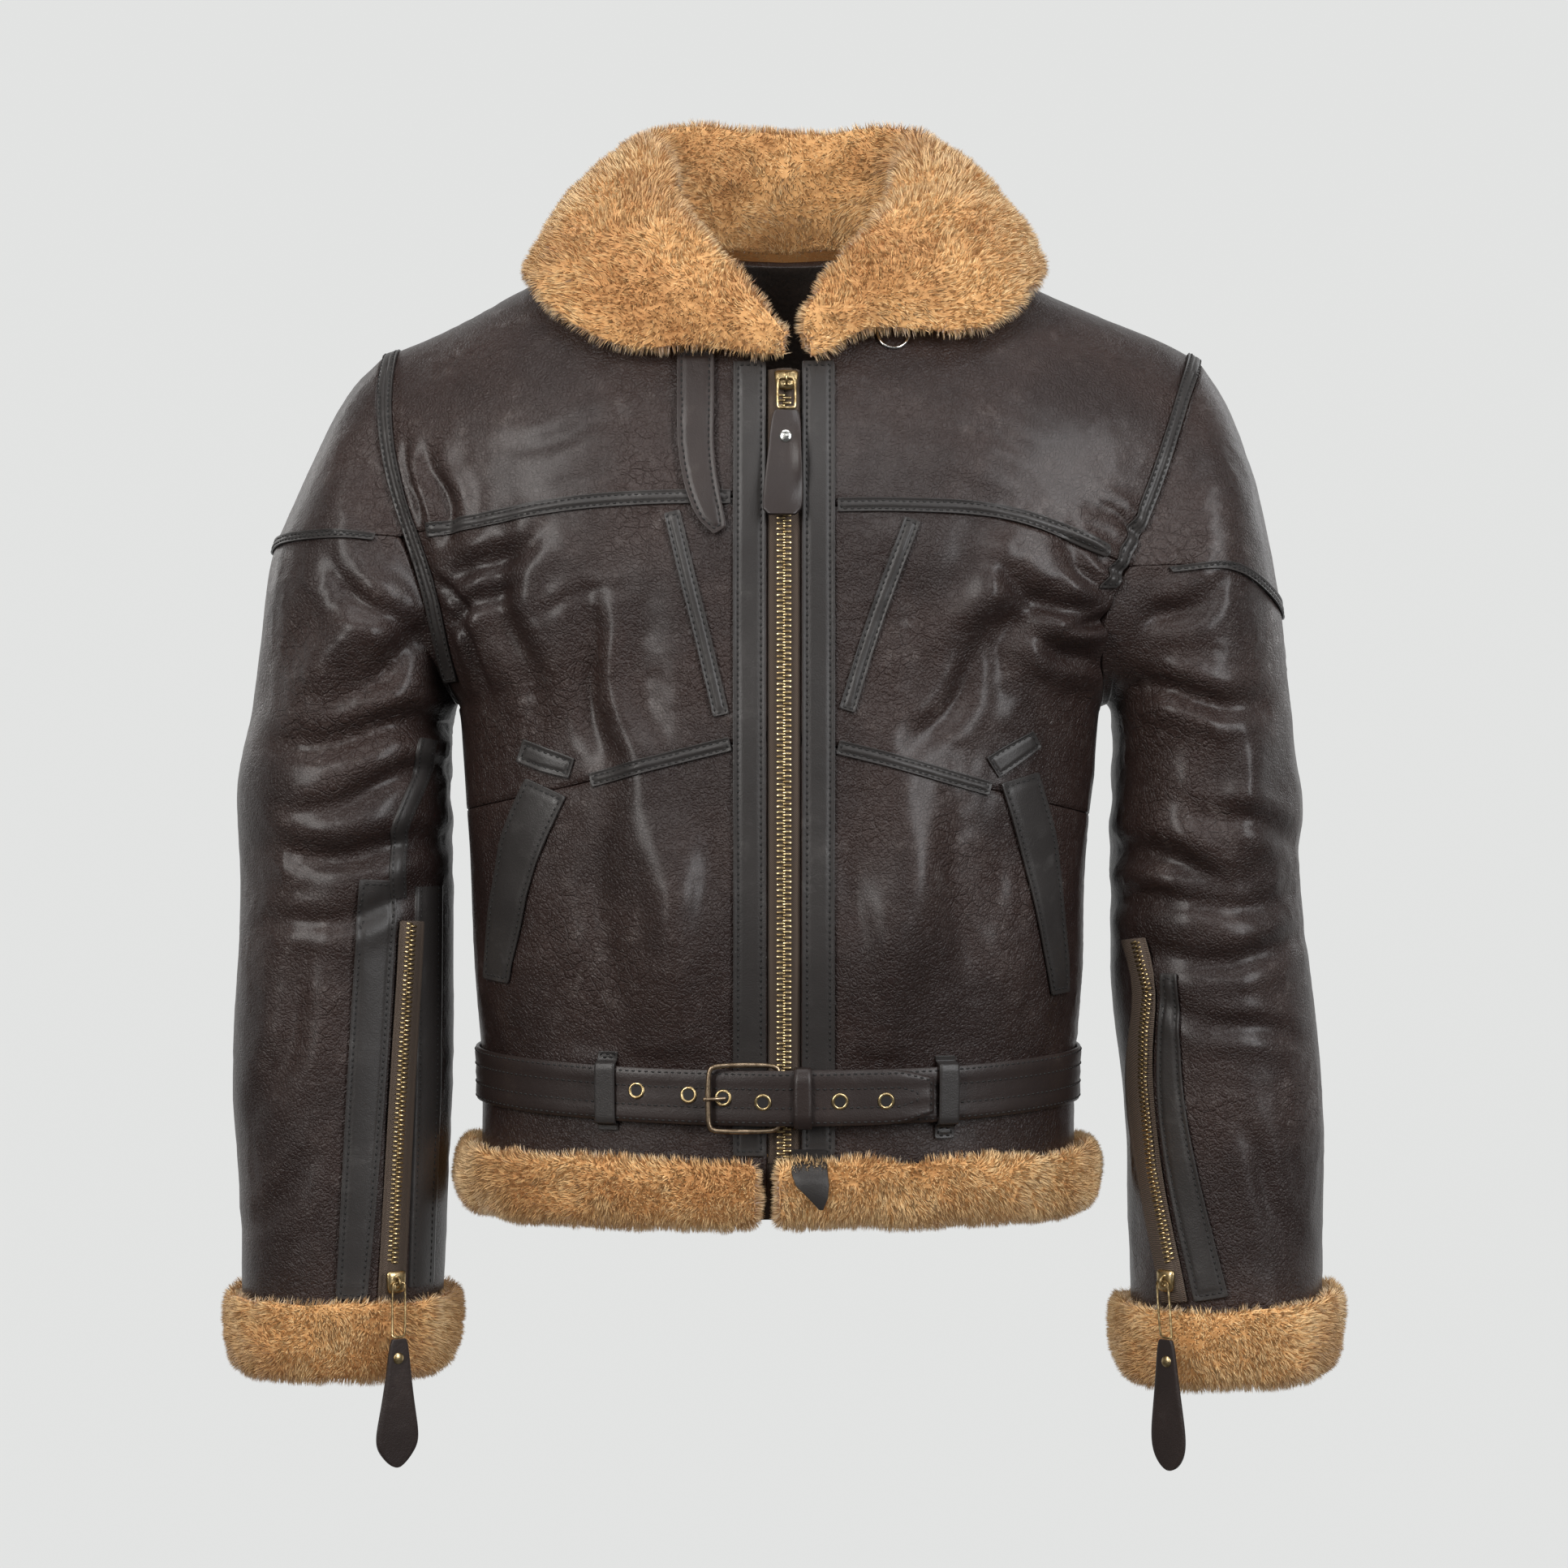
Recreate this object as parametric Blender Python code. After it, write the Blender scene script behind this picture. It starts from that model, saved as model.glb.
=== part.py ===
"""A sheepskin flying jacket, hollow and filled out as if worn, with its zips and its belt done up.

Metres, +Z up, front towards -Y. The origin lies between the shoulders, at the height of the neck points.
A side is "r" or "l", the wearer's right (-X) or left (+X); "out" is a distance from the middle on that side.
"""

import math

import bmesh
import bpy
import numpy as np
from mathutils import Vector
from mathutils.bvhtree import BVHTree

SIGN = {"r": -1, "l": 1}
SIDES = ("r", "l")

WALL = 0.008  # leather with its pile
SEAM = 0.0003
LEATHER = 0.0014  # the strips laid over the seams
LAID = 0.0005  # from a panel to what lies on it
ZIP_EDGE = 0.0105  # from the middle to the front edge of each panel
HEM_Z = -0.612
UNDERARM_Z = -0.310
FRONT_NECK_Z = -0.088
BACK_NECK_Z = -0.006
NECK_OUT = 0.085
ROLL_START_Z = -0.220  # above this the body rolls in to the shoulder seam
SQUARENESS = 2.4
ROLL = {"front": 2.0, "back": 2.6}


def table(columns, *rows):
    """A table with named columns, each with its slopes for a smooth curve through the rows."""
    values = np.array(rows, float)
    made = {}
    for index, column in enumerate(columns.split()):
        made[column] = values[:, index]
        made[column + "_slope"] = np.gradient(values[:, index], values[:, 0])
    made["key"] = values[:, 0]
    return made


def read(source, column, at):
    """The column's value at a place between the rows, held at the table's ends."""
    keys = source["key"]
    i = min(max(int(np.searchsorted(keys, at)) - 1, 0), len(keys) - 2)
    step = keys[i + 1] - keys[i]
    f = min(max((at - keys[i]) / step, 0.0), 1.0)
    low, high = source[column][i], source[column][i + 1]
    rise_low, rise_high = source[column + "_slope"][i] * step, source[column + "_slope"][i + 1] * step
    ends = low * (1 + 2 * f) * (1 - f) ** 2 + high * f * f * (3 - 2 * f)
    return float(ends + rise_low * f * (1 - f) ** 2 - rise_high * f * f * (1 - f))


# Half widths and depths of the body; above the underarm the half width is where the side would come
TORSO = table(
    "z       half_r  half_l  front   back",
    (-0.645, 0.1990, 0.1900, 0.128, 0.120),
    (-0.580, 0.1968, 0.1892, 0.1235, 0.1175),
    (-0.525, 0.1972, 0.1895, 0.1240, 0.1175),
    (-0.490, 0.2003, 0.1932, 0.1330, 0.1210),
    (-0.420, 0.2050, 0.1955, 0.138, 0.124),
    (-0.350, 0.2085, 0.2030, 0.139, 0.126),
    (-0.310, 0.2095, 0.2055, 0.138, 0.126),
    (-0.270, 0.2450, 0.2430, 0.136, 0.126),
    (-0.200, 0.2780, 0.2800, 0.133, 0.124),
    (-0.100, 0.3050, 0.3150, 0.127, 0.122),
    (0.040, 0.3200, 0.3300, 0.120, 0.120),
)
SHOULDER = table(
    "out    z_r      z_l",
    (0.000, 0.0350, 0.0350),
    (0.085, 0.0050, 0.0050),
    (0.170, -0.0355, -0.0380),
    (0.215, -0.0600, -0.0570),
    (0.260, -0.0785, -0.0765),
    (0.272, -0.0830, -0.0835),
)
TIP = {"r": (0.2600, -0.0785), "l": (0.2715, -0.0833)}
ARMHOLE = {
    "front_r": table(
        "z       out",
        (-0.3100, 0.2095),
        (-0.2850, 0.2185),
        (-0.2540, 0.2235),
        (-0.2130, 0.2350),
        (-0.1880, 0.2440),
        (-0.1465, 0.2555),
        (-0.1100, 0.2600),
        (-0.0785, 0.2600),
    ),
    "front_l": table(
        "z       out",
        (-0.3100, 0.2055),
        (-0.2850, 0.2010),
        (-0.2600, 0.1985),
        (-0.2335, 0.2070),
        (-0.2020, 0.2240),
        (-0.1700, 0.2380),
        (-0.1434, 0.2475),
        (-0.1115, 0.2590),
        (-0.0833, 0.2715),
    ),
    "back_r": table(
        "z       out",
        (-0.3100, 0.2095),
        (-0.2700, 0.2180),
        (-0.2000, 0.2330),
        (-0.1300, 0.2480),
        (-0.0785, 0.2600),
    ),
    "back_l": table(
        "z       out",
        (-0.3100, 0.2055),
        (-0.2700, 0.2160),
        (-0.2000, 0.2340),
        (-0.1300, 0.2530),
        (-0.0833, 0.2715),
    ),
}
YOKE_SEAM = table(
    "out    z_r      z_l",
    (0.010, -0.1817, -0.1870),
    (0.085, -0.1817, -0.1866),
    (0.140, -0.1860, -0.1910),
    (0.172, -0.1910, -0.2008),
    (0.198, -0.1960, -0.2125),
    (0.245, -0.2020, -0.2235),
)
WAIST_SEAM = table(
    "out    z_r      z_l",
    (0.010, -0.3280, -0.3300),
    (0.060, -0.3400, -0.3420),
    (0.125, -0.3570, -0.3600),
    (0.210, -0.3750, -0.3800),
)
# Where the yoke seam meets the front armhole, and the waist seam the side
YOKE_END_Z = {"r": -0.2010, "l": -0.2210}
WAIST_END_Z = {"r": -0.3750, "l": -0.3780}
# The largest bulges and folds of the fronts: middle, half lengths along and across, height and turn
FOLDS = {
    "r": table(
        "out    z       along  across  rise    turn",
        (0.075, -0.430, 0.075, 0.040, 0.0070, 0.15),
        (0.115, -0.270, 0.060, 0.022, -0.0050, 0.05),
        (0.150, -0.250, 0.050, 0.028, 0.0045, 0.20),
        (0.205, -0.190, 0.045, 0.020, -0.0040, 0.10),
        (0.180, -0.440, 0.070, 0.025, 0.0040, 0.05),
    ),
    "l": table(
        "out    z       along  across  rise    turn",
        (0.070, -0.440, 0.080, 0.035, 0.0065, -0.10),
        (0.120, -0.225, 0.022, 0.055, 0.0060, -0.20),
        (0.130, -0.285, 0.030, 0.050, -0.0040, 0.60),
        (0.170, -0.250, 0.030, 0.045, 0.0050, 0.70),
        (0.150, -0.430, 0.070, 0.028, 0.0040, 0.05),
    ),
}
ROWS_WAIST = 7
ROWS_CHEST_LOW = 2
ROWS_CHEST_HIGH = 5
ROWS_YOKE = 7
COLUMNS = 10
COLUMNS_NECK = 3
NECK_SHARE = 0.31  # of the back's half width, where its neckline ends


def shoulder_z(side, out):
    return read(SHOULDER, "z_" + side, out)


def fold_height(side, out, z):
    folds = FOLDS[side]
    height = 0.0
    for i in range(len(folds["key"])):
        dx, dz = out - folds["out"][i], z - folds["z"][i]
        turn = folds["turn"][i]
        across = dx * math.cos(turn) + dz * math.sin(turn)
        along = dz * math.cos(turn) - dx * math.sin(turn)
        height += folds["rise"][i] * math.exp(-((along / folds["along"][i]) ** 2) - (across / folds["across"][i]) ** 2)
    return height


def body(side, face, out, z):
    """The point of the body's leather surface at a place in the front view."""
    half, depth = read(TORSO, "half_" + side, z), read(TORSO, face, z)
    rise = max(0.0, (z - ROLL_START_Z) / (shoulder_z(side, abs(out)) - ROLL_START_Z))
    across = max(0.0, 1 - (abs(out) / half) ** SQUARENESS) ** (1 / SQUARENESS)
    up = max(0.0, 1 - rise ** ROLL[face]) ** (1 / ROLL[face])
    folds = fold_height(side, out, z) if face == "front" else 0.0
    y = (depth + folds) * across * up + SEAM / 2
    return Vector((SIGN[side] * out, -y if face == "front" else y, z))


def edge_heights(side):
    """The heights at which the rows of the panels meet the side seam and the armhole."""
    yoke, waist, tip = YOKE_END_Z[side], WAIST_END_Z[side], TIP[side][1]
    heights = [HEM_Z + (waist - HEM_Z) * i / ROWS_WAIST for i in range(ROWS_WAIST)]
    heights += [waist + (UNDERARM_Z - waist) * i / ROWS_CHEST_LOW for i in range(ROWS_CHEST_LOW)]
    heights += [UNDERARM_Z + (yoke - UNDERARM_Z) * (i / ROWS_CHEST_HIGH) ** 1.7 for i in range(ROWS_CHEST_HIGH)]
    heights += [tip + (yoke - tip) * (1 - i / ROWS_YOKE) ** 2 for i in range(ROWS_YOKE + 1)]
    return heights


def edge_out(side, face, z):
    if z <= UNDERARM_Z:
        return read(TORSO, "half_" + side, z)
    return read(ARMHOLE[face + "_" + side], "out", z)


def ease(q):
    return math.sin(q * math.pi / 2)


def mix(a, b, f):
    return a + (b - a) * f


def coons(bottom, top, inner, outer, s, t):
    """A place inside four edges, each a function of 0 to 1."""
    bs, ts, it, ot = (np.array(edge) for edge in (bottom(s), top(s), inner(t), outer(t)))
    corners = mix(mix(np.array(inner(0)), np.array(outer(0)), s), mix(np.array(inner(1)), np.array(outer(1)), s), t)
    return mix(it, ot, s) + mix(bs, ts, t) - corners


def neckline(side, face, f):
    """From the middle (0) to the neck point (1), a quarter of an ellipse in the front view."""
    low, start = (FRONT_NECK_Z, ZIP_EDGE) if face == "front" else (BACK_NECK_Z, 0.0)
    turn = f * math.pi / 2
    top = shoulder_z(side, NECK_OUT)
    return (start + (NECK_OUT - start) * math.sin(turn), mix(top, low, math.cos(turn)))


def yoke_inner(side, f):
    straight = FRONT_NECK_Z - read(YOKE_SEAM, "z_" + side, ZIP_EDGE)
    share = straight / (straight + 0.14)
    if f < share:
        return (ZIP_EDGE, FRONT_NECK_Z - straight * (1 - f / share))
    return neckline(side, "front", (f - share) / (1 - share))


def shoulder_seam(side, f):
    out = mix(NECK_OUT, TIP[side][0], f)
    return (out, shoulder_z(side, out))


def seam_curve(seam, side, face, end_z, shift):
    end = edge_out(side, face, end_z)

    def curve(f):
        out = mix(ZIP_EDGE, end, f)
        fix = (end_z - read(seam, "z_" + side, end)) * f
        return (out, read(seam, "z_" + side, out) + fix + shift)

    return curve


def outer_edge(side, face, low, high, shift_low, shift_high):
    def curve(f):
        z = mix(low, high, f)
        return (edge_out(side, face, z), z + mix(shift_low, shift_high, f))

    return curve


def panel_rows(side, face, edges, shares, heights):
    """The outer points and their normals, row by row, for the shares across and up."""
    bottom, top, inner, outer = edges
    step = 1e-4

    def at(s, t):
        out, z = coons(bottom, top, inner, outer, s, t)
        return body(side, face, out, z)

    rows, normals = [], []
    for t in heights:
        row, row_normals = [], []
        for s in shares:
            s0, s1 = (s - step, s) if s > 0.5 else (s, s + step)
            t0, t1 = (t - step, t) if t > 0.5 else (t, t + step)
            normal = (at(s1, t) - at(s0, t)).cross(at(s, t1) - at(s, t0)).normalized()
            point = at(s, t)
            if s == 1 and point.z < UNDERARM_Z + 1e-6:
                normal = Vector((SIGN[side], 0, 0))
            if normal.dot(point - Vector((0, 0, point.z - 0.05))) < 0:
                normal.negate()
            row.append(point)
            row_normals.append(normal)
        rows.append(row)
        normals.append(row_normals)
    return rows, normals


def moved(rows, normals, by):
    return [[p + n * by for p, n in zip(row, ns)] for row, ns in zip(rows, normals)]


def inside_of(face, rows, normals):
    """The pile side of a panel, kept on its own side of the seams at y = 0."""
    inner = moved(rows, normals, -WALL)
    for row, inner_row in zip(rows, inner):
        for outside, point in zip(row, inner_row):
            point.y = min(point.y, -SEAM / 2) if face == "front" else max(point.y, SEAM / 2)
            if abs(outside.z - HEM_Z) < 1e-6:
                point.z = HEM_Z
    return inner


def wall(name, outer, inner, material, wrap=False):
    """A closed solid between two grids of points; wrap joins the last column to the first."""
    mesh = bmesh.new()
    grids = [[[mesh.verts.new(p) for p in row] for row in rows] for rows in (outer, inner)]
    columns = len(outer[0])
    reach = columns if wrap else columns - 1
    for grid, turned in zip(grids, (False, True)):
        for low, high in zip(grid, grid[1:]):
            for j in range(reach):
                k = (j + 1) % columns
                corners = (low[j], low[k], high[k], high[j])
                mesh.faces.new(corners[::-1] if turned else corners)
    for row in (0, -1):
        for j in range(reach):
            k = (j + 1) % columns
            corners = (grids[0][row][j], grids[1][row][j], grids[1][row][k], grids[0][row][k])
            mesh.faces.new(corners if row == 0 else corners[::-1])
    if not wrap:
        for column in (0, -1):
            for i in range(len(outer) - 1):
                a, b = grids[0][i][column], grids[0][i + 1][column]
                c, d = grids[1][i + 1][column], grids[1][i][column]
                mesh.faces.new((a, b, c, d) if column == 0 else (d, c, b, a))
    return solid(name, mesh, material)


def solid(name, mesh, material):
    bmesh.ops.triangulate(mesh, faces=mesh.faces)
    bmesh.ops.recalc_face_normals(mesh, faces=mesh.faces)
    data = bpy.data.meshes.new(name)
    mesh.to_mesh(data)
    mesh.free()
    obj = bpy.data.objects.new(name, data)
    data.materials.append(material)
    data.shade_smooth()
    data.set_sharp_from_angle(angle=math.radians(40))
    jacket.objects.link(obj)
    return obj


def finish(name, colour, roughness, metallic=0.0):
    material = bpy.data.materials.new(name)
    material.use_nodes = True
    shader = material.node_tree.nodes["Principled BSDF"]
    shader.inputs["Base Color"].default_value = (*colour, 1)
    shader.inputs["Roughness"].default_value = roughness
    shader.inputs["Metallic"].default_value = metallic
    return material


for start_object in list(bpy.data.objects):
    bpy.data.objects.remove(start_object)
jacket = bpy.data.collections.new("flying_jacket")
bpy.context.scene.collection.children.link(jacket)
SHEEPSKIN = finish("sheepskin leather", (0.040, 0.026, 0.022), 0.42)
STRIP = finish("strip leather", (0.034, 0.030, 0.029), 0.48)
FUR = finish("ginger fur", (0.56, 0.30, 0.12), 0.95)
BRASS = finish("antique brass", (0.42, 0.30, 0.14), 0.38, 1.0)
STEEL = finish("nickel", (0.60, 0.60, 0.58), 0.25, 1.0)


# Fronts and back. Panels that share a seam share the places of their points along it.
def shares_between(heights, low, high):
    return [(z - low) / (high - low) for z in heights]


def build_fronts(side):
    heights = edge_heights(side)
    yoke, waist, tip = YOKE_END_Z[side], WAIST_END_Z[side], TIP[side][1]
    half = SEAM / 2
    columns = [ease(j / COLUMNS) for j in range(COLUMNS + 1)]
    hem_end = edge_out(side, "front", HEM_Z)
    waist_rows = ROWS_WAIST
    chest_rows = waist_rows + ROWS_CHEST_LOW + ROWS_CHEST_HIGH
    specs = {
        "waist": (
            lambda f: (mix(ZIP_EDGE, hem_end, f), HEM_Z),
            seam_curve(WAIST_SEAM, side, "front", waist, -half),
            lambda f: (ZIP_EDGE, mix(HEM_Z, read(WAIST_SEAM, "z_" + side, ZIP_EDGE) - half, f)),
            outer_edge(side, "front", HEM_Z, waist, 0, -half),
            shares_between(heights[: waist_rows + 1], HEM_Z, waist),
        ),
        "chest": (
            seam_curve(WAIST_SEAM, side, "front", waist, half),
            seam_curve(YOKE_SEAM, side, "front", yoke, -half),
            lambda f: (
                ZIP_EDGE,
                mix(read(WAIST_SEAM, "z_" + side, ZIP_EDGE) + half, read(YOKE_SEAM, "z_" + side, ZIP_EDGE) - half, f),
            ),
            outer_edge(side, "front", waist, yoke, half, -half),
            shares_between(heights[waist_rows : chest_rows + 1], waist, yoke),
        ),
        "yoke": (
            seam_curve(YOKE_SEAM, side, "front", yoke, half),
            lambda f: shoulder_seam(side, f),
            lambda f: (yoke_inner(side, f)[0], yoke_inner(side, f)[1] + half * (1 - f)),
            outer_edge(side, "front", yoke, tip, half, 0),
            shares_between(heights[chest_rows:], yoke, tip),
        ),
    }
    outsides = []
    for piece, (*edges, ups) in specs.items():
        rows, normals = panel_rows(side, "front", edges, columns, ups)
        inner = inside_of("front", rows, normals)
        wall(f"{piece}_{side}", rows, inner, SHEEPSKIN)
        outsides.append((rows, inner))
    return outsides


def back_edges(side):
    """The four edges of half the back."""
    tip = TIP[side][1]
    hem_end = edge_out(side, "back", HEM_Z)

    def top(f):
        if f < NECK_SHARE:
            return neckline(side, "back", f / NECK_SHARE)
        return shoulder_seam(side, (f - NECK_SHARE) / (1 - NECK_SHARE))

    return (
        lambda f: (hem_end * f, HEM_Z),
        top,
        lambda f: (0.0, mix(HEM_Z, BACK_NECK_Z, f)),
        outer_edge(side, "back", HEM_Z, tip, 0, 0),
    )


def build_back():
    halves = []
    for side in SIDES:
        heights = edge_heights(side)
        columns = [NECK_SHARE * j / COLUMNS_NECK for j in range(COLUMNS_NECK)]
        columns += [mix(NECK_SHARE, 1.0, ease(j / COLUMNS)) for j in range(COLUMNS + 1)]
        ups = shares_between(heights, HEM_Z, TIP[side][1])
        halves.append(panel_rows(side, "back", back_edges(side), columns, ups))
    (rows_r, normals_r), (rows_l, normals_l) = halves
    rows = [r[::-1] + l[1:] for r, l in zip(rows_r, rows_l)]
    normals = [r[::-1] + l[1:] for r, l in zip(normals_r, normals_l)]
    middle = len(rows_r[0]) - 1
    for row, row_normals, other in zip(rows, normals, rows_l):
        row[middle] = (row[middle] + other[0]) / 2
        row_normals[middle] = Vector((0, row_normals[middle].y, row_normals[middle].z)).normalized()
    inner = inside_of("back", rows, normals)
    wall("back", rows, inner, SHEEPSKIN)
    return rows, inner


fronts = {side: build_fronts(side) for side in SIDES}
back = build_back()


# Sleeves: slanting sections, each from its outer point to its inner point, with its front and its back
SLEEVE = {
    "r": table(
        "at    top     top_z    low     low_z    front  back",
        (0.00, 0.2600, -0.0785, 0.2095, -0.3100, 0.092, 0.088),
        (0.04, 0.2735, -0.0905, 0.2125, -0.3078, 0.093, 0.090),
        (0.09, 0.2880, -0.1110, 0.2148, -0.3110, 0.094, 0.092),
        (0.16, 0.3030, -0.1400, 0.2160, -0.3170, 0.094, 0.092),
        (0.24, 0.3190, -0.1760, 0.2166, -0.3240, 0.093, 0.091),
        (0.32, 0.3320, -0.2120, 0.2168, -0.3310, 0.091, 0.089),
        (0.42, 0.3400, -0.2700, 0.2168, -0.3450, 0.087, 0.084),
        (0.50, 0.3500, -0.3230, 0.2164, -0.3640, 0.083, 0.080),
        (0.57, 0.3540, -0.3640, 0.2158, -0.3860, 0.080, 0.077),
        (0.66, 0.3525, -0.4200, 0.2145, -0.4290, 0.077, 0.073),
        (0.76, 0.3572, -0.4850, 0.2150, -0.4900, 0.075, 0.069),
        (0.86, 0.3583, -0.5570, 0.2165, -0.5600, 0.074, 0.065),
        (0.94, 0.3546, -0.6410, 0.2205, -0.6410, 0.073, 0.061),
        (1.00, 0.3519, -0.7130, 0.2215, -0.7130, 0.072, 0.058),
    ),
    "l": table(
        "at    top     top_z    low     low_z    front  back",
        (0.00, 0.2715, -0.0833, 0.2055, -0.3100, 0.092, 0.088),
        (0.04, 0.2800, -0.0930, 0.2100, -0.3078, 0.094, 0.090),
        (0.09, 0.2890, -0.1100, 0.2128, -0.3110, 0.095, 0.092),
        (0.16, 0.2990, -0.1350, 0.2138, -0.3170, 0.096, 0.092),
        (0.24, 0.3090, -0.1650, 0.2142, -0.3240, 0.096, 0.091),
        (0.32, 0.3165, -0.2040, 0.2144, -0.3310, 0.094, 0.089),
        (0.42, 0.3250, -0.2600, 0.2135, -0.3450, 0.090, 0.084),
        (0.50, 0.3300, -0.3130, 0.2130, -0.3650, 0.086, 0.080),
        (0.57, 0.3345, -0.3600, 0.2120, -0.3900, 0.082, 0.077),
        (0.66, 0.3365, -0.4200, 0.2140, -0.4300, 0.077, 0.073),
        (0.76, 0.3430, -0.4900, 0.2130, -0.4950, 0.074, 0.069),
        (0.86, 0.3495, -0.5600, 0.2215, -0.5600, 0.073, 0.065),
        (0.94, 0.3514, -0.6410, 0.2245, -0.6410, 0.072, 0.061),
        (1.00, 0.3500, -0.7130, 0.2265, -0.7200, 0.071, 0.058),
    ),
}
# Elbow folds: place along, half length, depth, and the angle round and half width of each
SLEEVE_FOLDS = {
    "r": table(
        "at     length  rise     round  width",
        (0.475, 0.022, -0.0060, 70, 65),
        (0.560, 0.040, 0.0050, 70, 60),
        (0.640, 0.022, -0.0050, 80, 60),
        (0.300, 0.060, 0.0030, 60, 50),
    ),
    "l": table(
        "at     length  rise     round  width",
        (0.455, 0.022, -0.0050, 90, 60),
        (0.640, 0.022, -0.0050, 60, 70),
        (0.590, 0.030, 0.0045, 50, 60),
        (0.700, 0.022, -0.0045, 70, 60),
    ),
}
SLEEVE_SQUARENESS = 2.15
BLEND_END = 0.20  # the share of the sleeve over which the armhole's form dies away
BAND_AT = {"r": 0.305, "l": 0.395}
BAND_SHAPE = 0.6
BAND_END = 0.012
BAND_GAP = 0.0008  # a share of the sleeve, on each side of the band's seam
TURN_END = 0.05  # the share over which the wall turns from the panels' direction to the sleeve's
SLEEVE_ROWS = 16
CAP_ROWS = 5


def armhole_ring(side):
    """(outer, inner, outward) of the panels' edges, from the tip down the front and up the back."""
    waist, chest, yoke = fronts[side]
    first = ROWS_WAIST + ROWS_CHEST_LOW
    column, beside = (-1, -2) if side == "l" else (0, 1)
    lists = []
    for grids, last, near, start in ((chest, -1, -2, ROWS_CHEST_LOW), (yoke, -1, -2, 1), (back, column, beside, first)):
        outer, inner = grids
        for i in range(start, len(outer)):
            edge = outer[i][last]
            outward = (edge - outer[i][near]).normalized()
            lists.append((edge, inner[i][last], outward, grids is back))
    lists[0] = (lists[0][0], lists[0][1], Vector((0, 0, 1)), False)
    front = [entry for entry in lists if not entry[3]]
    behind = [entry for entry in lists if entry[3]]
    return front[::-1] + behind[1:-1]


def turn_of(side, z, behind):
    tip = TIP[side][1]
    middle, half = (tip + UNDERARM_Z) / 2, (tip - UNDERARM_Z) / 2
    turn = math.acos(min(1.0, max(-1.0, (z - middle) / half)))
    return 2 * math.pi - turn if behind else turn


def armhole(side, turn):
    tip = TIP[side][1]
    middle, half = (tip + UNDERARM_Z) / 2, (tip - UNDERARM_Z) / 2
    z = middle + half * math.cos(turn)
    face = "front" if turn <= math.pi else "back"
    return body(side, face, edge_out(side, face, min(z, tip)), min(z, tip))


def sleeve(side, turn, at):
    """A point of the sleeve's surface: turn 0 at the top, a quarter at the front, a half at the underarm."""
    rows = SLEEVE[side]
    top = Vector((read(rows, "top", at), 0, read(rows, "top_z", at)))
    low = Vector((read(rows, "low", at), 0, read(rows, "low_z", at)))
    cos, sin = math.cos(turn), math.sin(turn)
    power = 2 / SLEEVE_SQUARENESS
    along = math.copysign(abs(cos) ** power, cos)
    deep = math.copysign(abs(sin) ** power, sin)
    depth = read(rows, "front" if sin > 0 else "back", at)
    point = (top + low) / 2 + (top - low) / 2 * along
    point.y = -deep * depth
    folds = SLEEVE_FOLDS[side]
    for i in range(len(folds["key"])):
        away = math.degrees(turn) - folds["round"][i]
        size = math.exp(-(((at - folds["at"][i]) / folds["length"][i]) ** 2) - (away / folds["width"][i]) ** 2)
        centre = (top + low) / 2
        point += (point - centre).normalized() * folds["rise"][i] * size
    point.x *= SIGN[side]
    if at < BLEND_END:
        f = 1 - at / BLEND_END
        f = f * f * (3 - 2 * f)
        point = point.lerp(armhole(side, turn) + sleeve_shift(side, turn, at), f)
    return point


def sleeve_shift(side, turn, at):
    """How far the sleeve's own sections have moved from the armhole at this place."""
    rows = SLEEVE[side]
    cos = math.cos(turn)
    share = (1 + cos) / 2
    move_top = Vector((read(rows, "top", at) - rows["top"][0], 0, read(rows, "top_z", at) - rows["top_z"][0]))
    move_low = Vector((read(rows, "low", at) - rows["low"][0], 0, read(rows, "low_z", at) - rows["low_z"][0]))
    move = move_low.lerp(move_top, share)
    move.x *= SIGN[side]
    return move


def sleeve_normal(side, turn, at):
    step = 1e-4
    a0, a1 = (at - step, at) if at > 0.5 else (at, at + step)
    round_step = sleeve(side, (turn + step) % (2 * math.pi), at) - sleeve(side, (turn - step) % (2 * math.pi), at)
    normal = round_step.cross(sleeve(side, turn, a1) - sleeve(side, turn, a0)).normalized()
    rows = SLEEVE[side]
    centre = Vector((SIGN[side] * (read(rows, "top", at) + read(rows, "low", at)) / 2, 0, 0))
    centre.z = (read(rows, "top_z", at) + read(rows, "low_z", at)) / 2
    return normal if normal.dot(sleeve(side, turn, at) - centre) > 0 else -normal


def body_normal(side, face, out, z):
    step = 2e-4
    a = body(side, face, out - step, z) - body(side, face, out - 2 * step, z)
    b = body(side, face, out, z - step) - body(side, face, out, z - 2 * step)
    normal = a.cross(b).normalized()
    ahead = -1 if face == "front" else 1
    return normal if normal.y * ahead > 0 else -normal


def band_at(side, turn, last_turn):
    """How far along the sleeve its band lies, at an angle round it."""
    away = min(turn, 2 * math.pi - turn)
    if away > last_turn + 1e-6:
        return 0.0
    share = max(0.0, math.cos(away / last_turn * math.pi / 2)) ** BAND_SHAPE
    return max(BAND_END, BAND_AT[side] * share)


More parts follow.
